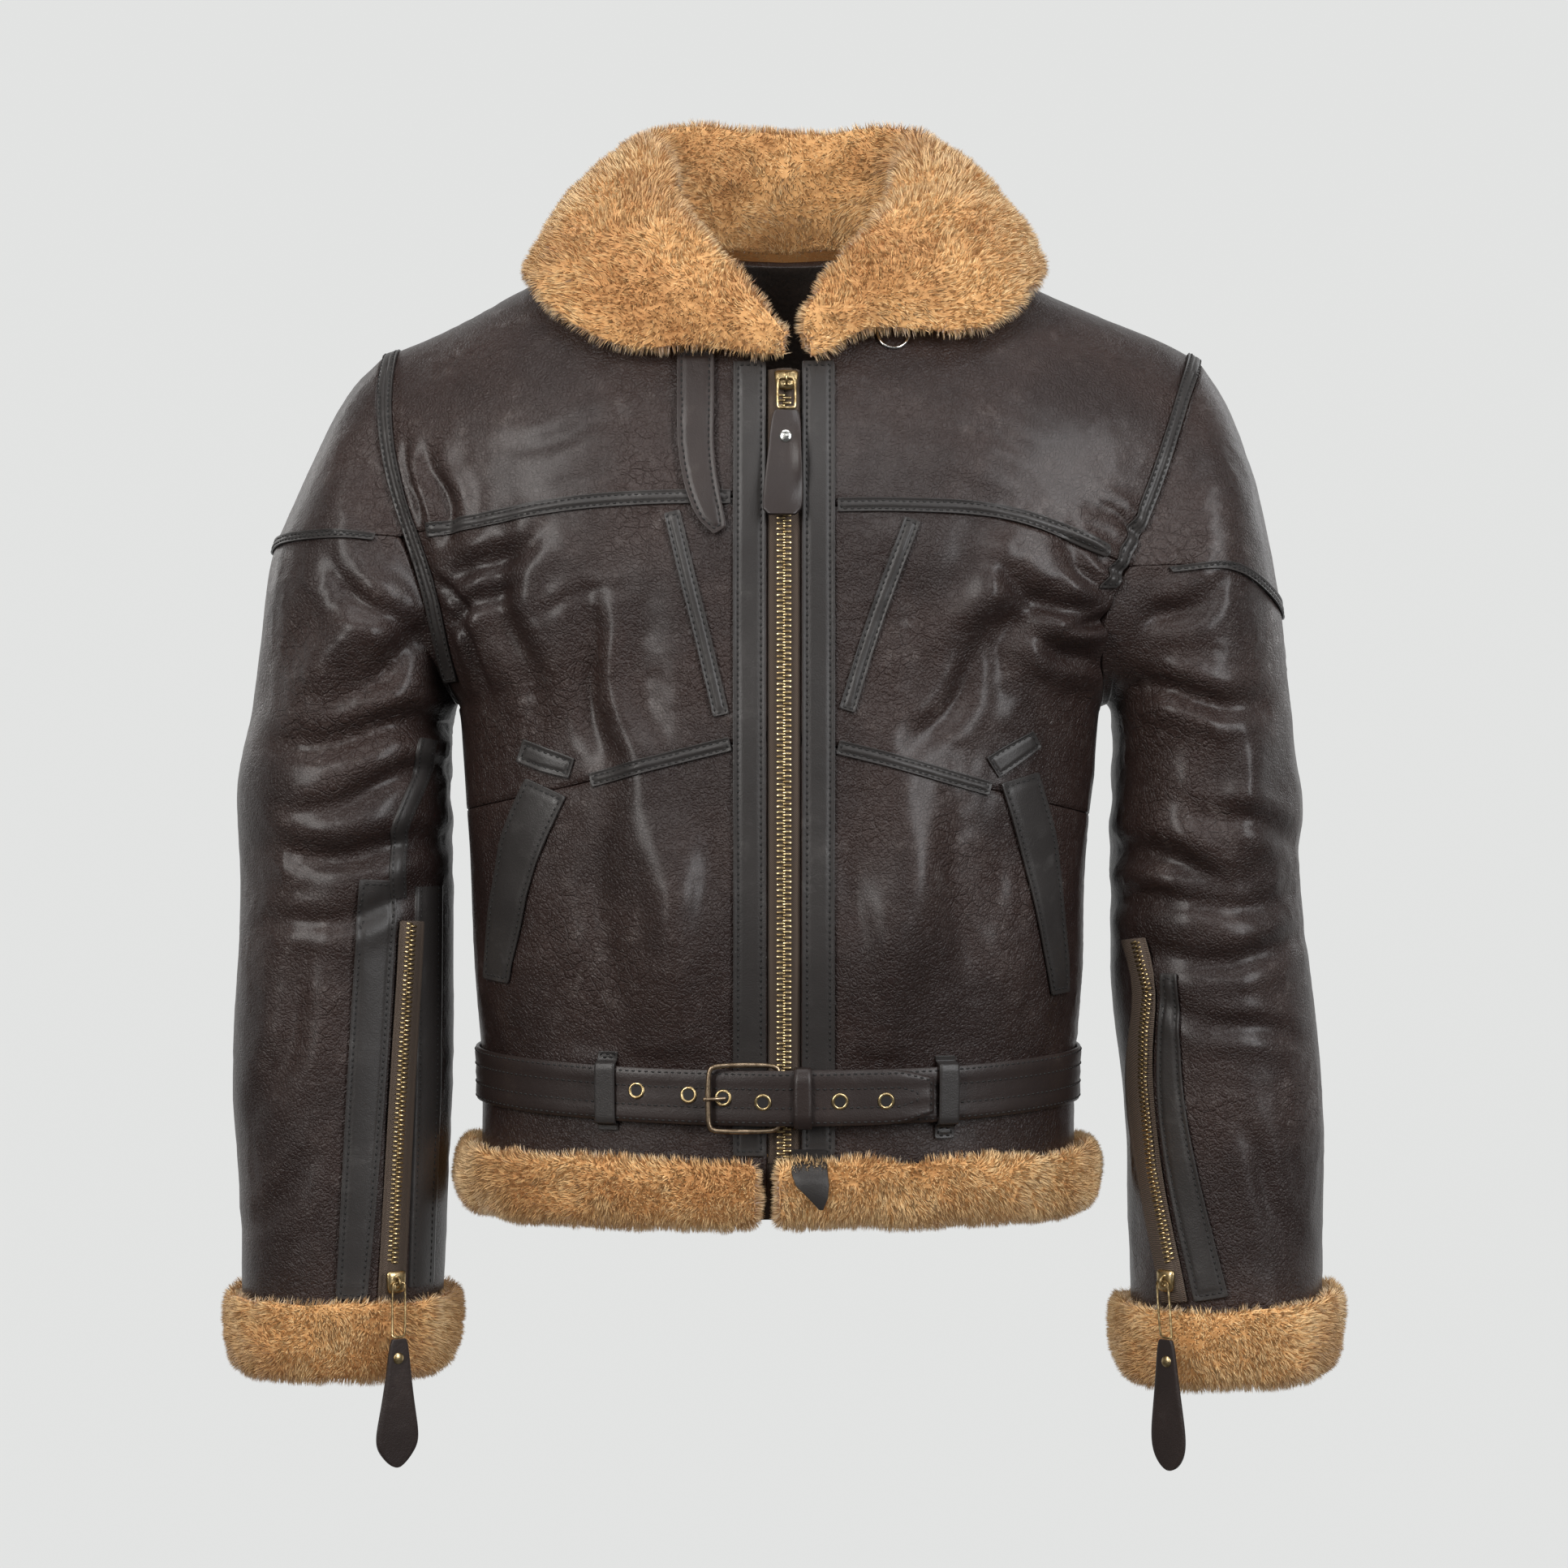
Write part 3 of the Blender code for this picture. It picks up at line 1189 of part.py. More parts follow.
def build_belt():
    start, end = turn_of_x(BELT_START_X), 2 * math.pi + turn_of_x(BELT_TIP_X)
    turns = [mix(start, end, i / BELT_ROWS) for i in range(BELT_ROWS + 1)]
    spots = []
    for turn in turns:
        half = BELT_HALF - 0.006 * max(0.0, 1 - (end - turn) / 0.03)
        heights = [belt_z(turn) + rise for rise in (-half, 0.0, half)]
        spots.append([(girth(turn, z), girth_normal(turn, z)) for z in heights])
    laid_wall("belt", BODY_TREE, spots, [BELT_THICK] * 3, STRIP, [belt_lift(turn) for turn in turns])


build_belt()


def rod(name, points, radius, material, closed=False, sides=2):
    """A round bar along the points, as a mesh."""
    curve = bpy.data.curves.new(name, "CURVE")
    curve.dimensions = "3D"
    curve.bevel_depth = radius
    curve.bevel_resolution = sides
    curve.use_fill_caps = True
    spline = curve.splines.new("POLY")
    spline.points.add(len(points) - 1)
    for spot, point in zip(spline.points, points):
        spot.co = (*point, 1)
    spline.use_cyclic_u = closed
    guide = bpy.data.objects.new(name + "_line", curve)
    jacket.objects.link(guide)
    bpy.context.view_layer.update()
    data = bpy.data.meshes.new_from_object(guide.evaluated_get(bpy.context.evaluated_depsgraph_get()))
    bpy.data.objects.remove(guide)
    mesh = bmesh.new()
    mesh.from_mesh(data)
    bpy.data.meshes.remove(data)
    bmesh.ops.remove_doubles(mesh, verts=mesh.verts, dist=1e-6)
    return solid(name, mesh, material)


def over_front(x, z, lift):
    """A place over the middle of the front, at a height over the leather."""
    turn = turn_at(x, z)
    return girth(turn, z) + girth_normal(turn, z) * lift


def build_buckle():
    (left, right), (left_lift, right_lift) = BUCKLE_X, BUCKLE_LIFT
    z = BELT_Z["front"]
    near, far = over_front(left, z, left_lift), over_front(right, z, right_lift)
    cut = 0.0025
    across = (far - near).normalized()
    points = []
    for base, way in ((near, 1), (far, -1)):
        for sign in (1, -1) if way == 1 else (-1, 1):
            corner = base + Vector((0, 0, sign * BUCKLE_HALF_HEIGHT))
            side_point, end_point = corner - Vector((0, 0, sign * cut)), corner + across * cut * way
            first = (sign == 1) == (way == 1)
            points += [end_point, side_point] if first else [side_point, end_point]
    rod("buckle", points, BUCKLE_BAR, BRASS, closed=True)
    tongue = belt_lift(2 * math.pi - turn_of_x(0.036)) + BELT_THICK
    prong = [
        over_front(-0.0345, z, tongue + 0.0034),
        over_front(-0.0400, z, tongue + 0.0048),
        near + Vector((0, -BUCKLE_BAR - 0.0018, 0)),
        near + Vector((-0.0030, -BUCKLE_BAR - 0.0012, 0)),
    ]
    rod("buckle_prong", prong, 0.0013, BRASS)


build_buckle()


def loop_band(name, x, half_width, low_z, high_z, back_lift, front_lift, thick):
    """A flat leather ring round the belt at one x."""
    outer, inner = [], []
    for place in (x - half_width, x + half_width):
        corners = ((back_lift, low_z), (front_lift, low_z), (front_lift, high_z), (back_lift, high_z))
        grown = ((-thick, -thick), (thick, -thick), (thick, thick), (-thick, thick))
        inner.append([over_front(place, z, lift) for lift, z in corners])
        outer.append([over_front(place, z, lift + a) + Vector((0, 0, b)) for (lift, z), (a, b) in zip(corners, grown)])
    wall(name, outer, inner, STRIP, wrap=True)


KEEPER_X, KEEPER_HALF = 0.0115, 0.0054
loop_band("belt_keeper", KEEPER_X, KEEPER_HALF, BELT_Z["front"] - BELT_HALF - 0.0009,
          BELT_Z["front"] + BELT_HALF + 0.0009, BELT_FRONT_LIFT - 0.0006, TONGUE_LIFT + BELT_THICK + 0.0014, 0.0009)

BELT_LOOPS = {"r": (-0.1087, -0.5235, -0.5725), "l": (0.0990, -0.5260, -0.5775)}
BELT_LOOP_HALF = 0.0060


def build_belt_loop(side):
    """A strip sewn on above and below the belt, standing over it."""
    x, high_z, low_z = BELT_LOOPS[side]
    middle = belt_z(turn_at(x, BELT_Z["front"]))
    over = belt_lift(turn_at(x, BELT_Z["front"]) % (2 * math.pi)) + BELT_THICK + 0.0016
    edge = BELT_HALF + 0.0010
    rows = ((low_z, LAID, 0), (middle - edge - 0.0020, LAID, 0), (middle - edge, over, -1), (middle + edge, over, 1),
            (middle + edge + 0.0020, LAID, 0), (high_z, LAID, 0))
    outer, inner = [], []
    for z, lift, way in rows:
        high, low = [], []
        for place in (x - BELT_LOOP_HALF, x + BELT_LOOP_HALF):
            spot_turn = turn_at(place, z)
            point, normal = girth(spot_turn, z), girth_normal(spot_turn, z)
            low.append(lay(BODY_TREE, point, normal, lift))
            high.append(lay(BODY_TREE, point, normal, lift + LEATHER) + Vector((0, 0, way * 0.0006)))
        outer.append(high)
        inner.append(low)
    wall(f"belt_loop_{side}", outer, inner, STRIP)


for side in SIDES:
    build_belt_loop(side)


# Zip sliders with their pullers. Each is built about the puller's pivot, across, down and out from the chain.
SLIDER = {"front": (0.0155, 0.0125, 0.0044), "cuff": (0.0140, 0.0140, 0.0042)}
SLIDER_TAPER = 0.82
SLIDER_BEVEL = 0.0011
BAIL_RADIUS, BAIL_WIRE = 0.0032, 0.0008
BAIL_RISE = 0.0004  # of its middle over the slider's face
PIVOT_RISE = 0.0014
CHAIN_CLEAR = 0.0004
FRONT_SLIDER_PLACE = (0.0015, -0.1095)
CUFF_SLIDER_Z = -0.6735
LINK = {"front": (0.0055, 0.0010), "cuff": (0.0046, 0.0008)}  # half width, radius of its bars
FRONT_LINK_DROP = 0.0190
LINK_CHAMFER = 0.0012
TAB_THICK = 0.0024


def placed(mesh, origin, across, down, out):
    for vert in mesh.verts:
        a, b, c = vert.co
        vert.co = origin + across * a + down * b + out * c
    return mesh


def united(name, meshes, material):
    """Two closed meshes joined into one solid."""
    pieces = []
    for index, mesh in enumerate(meshes):
        data = bpy.data.meshes.new(f"{name}_{index}")
        mesh.to_mesh(data)
        mesh.free()
        piece = bpy.data.objects.new(data.name, data)
        jacket.objects.link(piece)
        pieces.append(piece)
    join = pieces[0].modifiers.new("join", "BOOLEAN")
    join.operation = "UNION"
    join.object = pieces[1]
    bpy.context.view_layer.update()
    data = bpy.data.meshes.new_from_object(pieces[0].evaluated_get(bpy.context.evaluated_depsgraph_get()))
    for piece in pieces:
        bpy.data.objects.remove(piece)
    mesh = bmesh.new()
    mesh.from_mesh(data)
    bpy.data.meshes.remove(data)
    return solid(name, mesh, material)


def build_slider(name, kind, origin, across, down, out):
    """A tapered block over the chain with a round bail standing on it; origin is the middle of its underside."""
    width, height, depth = SLIDER[kind]
    block = bmesh.new()
    bmesh.ops.create_cube(block, size=1.0)
    for vert in block.verts:
        a, b, c = vert.co
        vert.co = (a * width * (SLIDER_TAPER if b > 0 else 1.0), b * height, (c + 0.5) * depth)
    bmesh.ops.bevel(block, geom=block.edges, offset=SLIDER_BEVEL, segments=1, profile=0.5, affect="EDGES", material=-1)
    bail = bmesh.new()
    section = bmesh.ops.create_circle(bail, segments=6, radius=BAIL_WIRE)["verts"]
    for vert in section:
        a, b, c = vert.co
        vert.co = (a, BAIL_RADIUS + b, depth + BAIL_RISE)
    bmesh.ops.spin(
        bail, geom=bail.verts[:] + bail.edges[:], cent=(0, 0, depth + BAIL_RISE), axis=(1, 0, 0),
        angle=2 * math.pi, steps=12, use_merge=True,
    )
    bmesh.ops.remove_doubles(bail, verts=bail.verts, dist=1e-6)
    for mesh in (block, bail):
        bmesh.ops.recalc_face_normals(mesh, faces=mesh.faces)
        placed(mesh, origin, across, down, out)
        bmesh.ops.recalc_face_normals(mesh, faces=mesh.faces)
    united(name, (block, bail), BRASS)
    return origin + out * (depth + PIVOT_RISE)


def build_link(name, kind, pivot, foot, across):
    """A wire frame from the bar through the bail to the bar in the tab; foot is the middle of the lower bar."""
    half, radius = LINK[kind]
    down = (foot - pivot).normalized()
    points = []
    for base, way in ((pivot, 1), (foot, -1)):
        for sign in (-way, way):
            corner = base + across * sign * half
            along_bar = corner - across * sign * LINK_CHAMFER
            along_side = corner + down * way * LINK_CHAMFER
            first = sign == -way
            points += [along_side, along_bar] if first else [along_bar, along_side]
    return rod(name, points, radius, BRASS, closed=True, sides=1)


def build_tab(name, rows, across):
    """A leather pull tab through rows of (middle point, half width)."""
    shape = [[point + across * half * share for share in (-1, 0, 1)] for point, half in rows]
    outer, inner = [], []
    for i, row in enumerate(shape):
        along = shape[min(i + 1, len(shape) - 1)][1] - shape[max(i - 1, 0)][1]
        out = along.cross(across).normalized()
        out = -out if out.y > 0 else out
        outer.append([point + out * TAB_THICK / 2 for point in row])
        inner.append([point - out * TAB_THICK / 2 for point in row])
    return wall(name, outer, inner, STRIP)


def hang(name, pivot, pieces):
    """Gives pieces that swing together an empty on their hinge."""
    hinge = bpy.data.objects.new(name, None)
    hinge.location = pivot
    jacket.objects.link(hinge)
    for piece in pieces:
        piece.parent = hinge
        piece.location = -pivot


# Pull tabs: place down from the top, half width, and the lift of the front one over the leather
FRONT_TAB = table(
    "down    half    lift",
    (0.0000, 0.0070, 0.0076),
    (0.0030, 0.0090, 0.0074),
    (0.0200, 0.0098, 0.0064),
    (0.0380, 0.0112, 0.0066),
    (0.0560, 0.0125, 0.0088),
    (0.0620, 0.0118, 0.0104),
    (0.0655, 0.0080, 0.0114),
)
FRONT_TAB_X = (0.0015, -0.0012)
CUFF_TAB = {
    "r": table(
        "down    half    out",
        (0.0000, 0.0045, 0.2409),
        (0.0030, 0.0064, 0.2409),
        (0.0250, 0.0088, 0.2411),
        (0.0450, 0.0120, 0.2415),
        (0.0620, 0.0155, 0.2419),
        (0.0700, 0.0130, 0.2420),
        (0.0780, 0.0060, 0.2421),
        (0.0805, 0.0015, 0.2421),
    ),
    "l": table(
        "down    half    out",
        (0.0000, 0.0045, 0.2389),
        (0.0030, 0.0063, 0.2389),
        (0.0250, 0.0085, 0.2395),
        (0.0450, 0.0112, 0.2400),
        (0.0610, 0.0133, 0.2404),
        (0.0720, 0.0118, 0.2408),
        (0.0790, 0.0070, 0.2410),
        (0.0820, 0.0020, 0.2411),
    ),
}
CUFF_TAB_TOP_Z = {"r": -0.7050, "l": -0.7055}
CUFF_TAB_Y = {"r": -0.0930, "l": -0.0930}
PULL_PIVOTS = {}


def build_front_pull():
    x, z = FRONT_SLIDER_PLACE
    point, normal = middle_front(z)
    across = Vector((1, 0, 0))
    down = across.cross(normal)
    chain_top = 0.0022 - 0.0008
    origin = Vector((x, point.y, point.z)) + normal * (chain_top + CHAIN_CLEAR)
    pivot = build_slider("front_slider", "front", origin, across, down, normal)
    low, low_normal = middle_front(z - FRONT_LINK_DROP)
    foot = Vector((x, low.y, low.z)) + low_normal * read(FRONT_TAB, "lift", 0)
    link = build_link("front_link", "front", pivot, foot, across)
    top_z = foot.z - LINK["front"][1] - SEAM
    rows = []
    for drop, half, lift in zip(FRONT_TAB["down"], FRONT_TAB["half"], FRONT_TAB["lift"]):
        spot, spot_normal = middle_front(top_z - drop)
        spot = spot + spot_normal * lift
        rows.append((Vector((mix(*FRONT_TAB_X, drop / FRONT_TAB["down"][-1]), spot.y, top_z - drop)), half))
    tab = build_tab("front_pull", rows, across)
    hang("front_pull_hinge", pivot, (link, tab))
    PULL_PIVOTS["front"] = pivot


def build_cuff_pull(side):
    place = on_sleeve(side, CUFF["zip_" + side])
    first, last = CUFF["zip_" + side][0][1], CUFF["zip_" + side][-1][1]
    share = (CUFF_SLIDER_Z - first) / (last - first)
    point, normal = place(share, 0.5)
    down = place(share + 0.01, 0.5)[0] - place(share - 0.01, 0.5)[0]
    down = (down - normal * down.dot(normal)).normalized()
    across = Vector((-normal.y, normal.x, 0)).normalized()
    down = (normal.cross(across) if normal.cross(across).z < 0 else across.cross(normal)).normalized()
    normal = down.cross(across) if down.cross(across).y < 0 else across.cross(down)
    origin = point + normal * (LAID + TAPE + CHAIN_RISE + CHAIN_CLEAR)
    pivot = build_slider(f"cuff_slider_{side}", "cuff", origin, across, down, normal)
    shape, top_z = CUFF_TAB[side], CUFF_TAB_TOP_Z[side]
    foot = Vector((SIGN[side] * shape["out"][0], CUFF_TAB_Y[side], top_z + LINK["cuff"][1] + SEAM))
    link = build_link(f"cuff_link_{side}", "cuff", pivot, foot, across)
    rows = [
        (Vector((SIGN[side] * out, CUFF_TAB_Y[side], top_z - drop)), half)
        for drop, half, out in zip(shape["down"], shape["half"], shape["out"])
    ]
    tab = build_tab(f"cuff_pull_{side}", rows, across)
    hang(f"cuff_pull_hinge_{side}", pivot, (link, tab))
    PULL_PIVOTS[side] = pivot


build_front_pull()
for side in SIDES:
    build_cuff_pull(side)


# The D-ring under the left side of the collar, and the loop that holds it
RING_PLACE = (0.0680, -0.0770)
RING_HALF = 0.0100
RING_WIRE = 0.0011
RING_CORNER = 0.0030
RING_LOOP = ((0.0680, -0.0650, 0.014), (0.0680, -0.0600, 0.014), (0.0680, -0.0550, 0.014))


def build_ring():
    x, z = RING_PLACE
    bow = [(RING_HALF * math.cos(a), -RING_HALF * math.sin(a)) for a in np.linspace(0, math.pi, 9)]
    top = RING_HALF * 0.9
    bow += [(-RING_HALF, top - RING_CORNER), (-RING_HALF + RING_CORNER, top)]
    bow += [(RING_HALF - RING_CORNER, top), (RING_HALF, top - RING_CORNER)]
    points = []
    for a, b in bow:
        point, normal = body("l", "front", x + a, z + b), body_normal("l", "front", x + a, z + b)
        points.append(lay(BODY_TREE, point, normal, RING_WIRE + SEAM))
    rod("d_ring", points, RING_WIRE, STEEL, closed=True, sides=1)


build_ring()
ribbon("d_ring_loop", BODY_TREE, on_body("l", "front", RING_LOOP), 3, 2, STRIP)
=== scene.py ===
"""The looks of a sheepskin flying jacket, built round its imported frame."""

import math

import bmesh
import bpy
import numpy as np
from mathutils import Matrix, Vector
from mathutils.bvhtree import BVHTree
from mathutils.kdtree import KDTree


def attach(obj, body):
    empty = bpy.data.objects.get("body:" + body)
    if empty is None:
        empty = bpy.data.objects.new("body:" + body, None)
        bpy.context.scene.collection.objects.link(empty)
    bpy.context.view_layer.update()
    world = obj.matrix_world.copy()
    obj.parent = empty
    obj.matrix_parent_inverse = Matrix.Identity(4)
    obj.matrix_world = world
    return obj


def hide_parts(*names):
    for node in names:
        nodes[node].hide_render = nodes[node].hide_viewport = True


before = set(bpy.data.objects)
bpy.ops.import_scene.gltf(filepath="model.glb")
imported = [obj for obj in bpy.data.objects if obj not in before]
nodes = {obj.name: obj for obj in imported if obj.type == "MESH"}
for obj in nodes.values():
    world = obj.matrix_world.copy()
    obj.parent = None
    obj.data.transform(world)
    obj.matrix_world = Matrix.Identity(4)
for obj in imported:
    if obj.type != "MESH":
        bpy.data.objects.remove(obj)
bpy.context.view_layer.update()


# Leather grain. Sheepskin's finished side is a fine pebble broken by a net of soft cracks, paler where the
# finish is worn. The panels, the strips and the tabs share it, each with its own values.
PATCH_SCALE = 11.0
RUMPLE_SCALE = 75.0
WARP_SCALE, WARP = 90.0, 0.007
FINE_CRACKS = 2.9


def add_group(name, inputs, outputs):
    group = bpy.data.node_groups.new(name, "ShaderNodeTree")
    for label, default in inputs:
        socket = group.interface.new_socket(label, in_out="INPUT", socket_type="NodeSocketFloat")
        socket.default_value = default
    for label in outputs:
        group.interface.new_socket(label, in_out="OUTPUT", socket_type="NodeSocketFloat")
    return group, group.nodes.new("NodeGroupInput"), group.nodes.new("NodeGroupOutput")


def add_math(tree, operation, first, second=None, clamp=False):
    node = tree.nodes.new("ShaderNodeMath")
    node.operation = operation
    node.use_clamp = clamp
    for socket, value in zip(node.inputs, (first, second)):
        if value is None:
            continue
        if isinstance(value, (int, float)):
            socket.default_value = value
        else:
            tree.links.new(value, socket)
    return node.outputs[0]


def add_noise(tree, vector, scale, detail=2.0, roughness=0.5, distortion=0.0):
    node = tree.nodes.new("ShaderNodeTexNoise")
    node.inputs["Detail"].default_value = detail
    node.inputs["Roughness"].default_value = roughness
    node.inputs["Distortion"].default_value = distortion
    tree.links.new(vector, node.inputs["Vector"])
    if isinstance(scale, (int, float)):
        node.inputs["Scale"].default_value = scale
    else:
        tree.links.new(scale, node.inputs["Scale"])
    return node


def add_range(tree, value, low, high, to_low=0.0, to_high=1.0):
    node = tree.nodes.new("ShaderNodeMapRange")
    node.interpolation_type = "SMOOTHSTEP"
    node.inputs["From Min"].default_value = low
    node.inputs["From Max"].default_value = high
    node.inputs["To Min"].default_value = to_low
    node.inputs["To Max"].default_value = to_high
    tree.links.new(value, node.inputs["Value"])
    return node.outputs["Result"]


GRAIN, GRAIN_IN, GRAIN_OUT = add_group(
    "leather grain",
    (("Pebble Scale", 700.0), ("Crack Scale", 130.0), ("Cracks", 1.0)),
    ("Height", "Worn", "Patch"),
)


def build_grain():
    tree = GRAIN
    place = tree.nodes.new("ShaderNodeTexCoord").outputs["Object"]
    warp = add_noise(tree, place, WARP_SCALE, detail=3.0)
    shift = tree.nodes.new("ShaderNodeVectorMath")
    shift.operation = "MULTIPLY_ADD"
    tree.links.new(warp.outputs["Color"], shift.inputs[0])
    shift.inputs[1].default_value = (WARP, WARP, WARP)
    tree.links.new(place, shift.inputs[2])
    patch = add_range(tree, add_noise(tree, place, PATCH_SCALE, detail=3.0).outputs["Fac"], 0.38, 0.64)
    cells = {}
    for label, feature, finer_by in (("Pebble Scale", "F1", 1.0), ("Crack Scale", "DISTANCE_TO_EDGE", 1.0),
                                     ("Crack Scale", "DISTANCE_TO_EDGE", FINE_CRACKS)):
        voronoi = tree.nodes.new("ShaderNodeTexVoronoi")
        voronoi.feature = feature
        tree.links.new(shift.outputs[0], voronoi.inputs["Vector"])
        scale = add_math(tree, "MULTIPLY", GRAIN_IN.outputs[label], finer_by)
        tree.links.new(scale, voronoi.inputs["Scale"])
        cells[label, finer_by] = voronoi.outputs["Distance"]
    pebble = add_math(tree, "SUBTRACT", 1.0, cells["Pebble Scale", 1.0])
    coarse = add_range(tree, cells["Crack Scale", 1.0], 0.0, 0.10)
    coarse = add_math(tree, "MULTIPLY", coarse, add_range(tree, patch, 0.55, 1.0, 0.0, 0.55))
    fine = add_range(tree, cells["Crack Scale", FINE_CRACKS], 0.0, 0.22)
    fine = add_math(tree, "MULTIPLY", fine, 0.32)
    crack = add_math(tree, "MULTIPLY", add_math(tree, "ADD", coarse, fine), GRAIN_IN.outputs["Cracks"])
    rumple = add_noise(tree, shift.outputs[0], RUMPLE_SCALE, detail=6.0, roughness=0.65).outputs["Fac"]
    height = add_math(tree, "ADD", add_math(tree, "MULTIPLY", pebble, 0.30), crack)
    height = add_math(tree, "ADD", height, add_math(tree, "MULTIPLY", rumple, 1.5))
    worn = add_math(tree, "MULTIPLY", add_range(tree, rumple, 0.52, 0.70), patch)
    tree.links.new(height, GRAIN_OUT.inputs["Height"])
    tree.links.new(worn, GRAIN_OUT.inputs["Worn"])
    tree.links.new(patch, GRAIN_OUT.inputs["Patch"])


build_grain()


def new_material(name):
    material = bpy.data.materials.new(name)
    material.use_nodes = True
    return material, material.node_tree, material.node_tree.nodes["Principled BSDF"]


def mix_colours(tree, share, first, second):
    node = tree.nodes.new("ShaderNodeMix")
    node.data_type = "RGBA"
    tree.links.new(share, node.inputs["Factor"])
    for socket, value in ((node.inputs["A"], first), (node.inputs["B"], second)):
        if isinstance(value, tuple):
            socket.default_value = (*value, 1.0)
        else:
            tree.links.new(value, socket)
    return node.outputs["Result"]


def add_bump(tree, height, distance, strength=1.0):
    bump = tree.nodes.new("ShaderNodeBump")
    bump.inputs["Distance"].default_value = distance
    bump.inputs["Strength"].default_value = strength
    tree.links.new(height, bump.inputs["Height"])
    return bump.outputs["Normal"]


def leather(name, dark, light, worn, roughness, cracks, pebble, depth, coat):
    """Leather of two tones with a worn third, from the shared grain."""
    material, tree, shader = new_material(name)
    grain = tree.nodes.new("ShaderNodeGroup")
    grain.node_tree = GRAIN
    grain.inputs["Cracks"].default_value = cracks
    grain.inputs["Pebble Scale"].default_value = pebble
    tone = mix_colours(tree, grain.outputs["Patch"], dark, light)
    tone = mix_colours(tree, grain.outputs["Worn"], tone, worn)
    tree.links.new(tone, shader.inputs["Base Color"])
    rough = add_range(tree, grain.outputs["Worn"], 0.0, 1.0, roughness + 0.06, roughness - 0.08)
    tree.links.new(rough, shader.inputs["Roughness"])
    shader.inputs["Coat Weight"].default_value = coat
    shader.inputs["Coat Roughness"].default_value = 0.29
    shader.inputs["Specular IOR Level"].default_value = 0.28
    tree.links.new(add_bump(tree, grain.outputs["Height"], depth), shader.inputs["Normal"])
    return material


SHEEPSKIN = leather(
    "sheepskin hide", dark=(0.0158, 0.0080, 0.0066), light=(0.0262, 0.0144, 0.0118),
    worn=(0.050, 0.036, 0.032), roughness=0.40, cracks=1.0, pebble=800.0, depth=0.00100, coat=0.24,
)
STRIP = leather(
    "strip leather", dark=(0.0215, 0.0188, 0.0178), light=(0.0290, 0.0258, 0.0245),
    worn=(0.048, 0.044, 0.042), roughness=0.40, cracks=0.25, pebble=1100.0, depth=0.00026, coat=0.10,
)
TAB_LEATHER = leather(
    "tab leather", dark=(0.0180, 0.0118, 0.0104), light=(0.0250, 0.0170, 0.0150),
    worn=(0.040, 0.030, 0.027), roughness=0.38, cracks=0.20, pebble=1100.0, depth=0.00024, coat=0.12,
)


def shade_painted_pile_material():
    """The short pile inside the body, painted dark as the shade inside the jacket."""
    material, tree, shader = new_material("pile painted dark as shade")
    place = tree.nodes.new("ShaderNodeTexCoord").outputs["Object"]
    tuft = add_noise(tree, place, 420.0, detail=4.0).outputs["Fac"]
    tone = mix_colours(tree, tuft, (0.012, 0.008, 0.006), (0.040, 0.025, 0.017))
    tree.links.new(tone, shader.inputs["Base Color"])
    shader.inputs["Roughness"].default_value = 0.95
    shader.inputs["Sheen Weight"].default_value = 0.2
    tree.links.new(add_bump(tree, tuft, 0.002), shader.inputs["Normal"])
    return material


SHADE_PAINTED_PILE = shade_painted_pile_material()


# The body: fronts in three pieces a side, and the back, cut from sheepskin with its pile inside and seamed
# together. The hide bulges over the lower fronts, folds at the armpits and is finely crumpled all over. Every
# piece that lies on it takes the same large folds, so that seams stay together.
# The pieces have the width and length of their cut.
BODY_PIECES = {
    "yoke_r": (0.270, 0.215), "yoke_l": (0.280, 0.225), "chest_r": (0.290, 0.200), "chest_l": (0.270, 0.200),
    "waist_r": (0.260, 0.285), "waist_l": (0.250, 0.285), "back": (0.660, 0.660),
}
BODY_HALF, BODY_DEPTH = 0.21, 0.132  # of the oval that the chest makes from above
SHOULDER_START = -0.20  # above this the hide rolls inwards
SEAM_FADE = 0.016  # folds die away this far from the armhole seam
CREASE_GAIN = 1.7
BELT_TOP, BELT_INSIDE = -0.520, -0.530  # the folds flatten between these heights
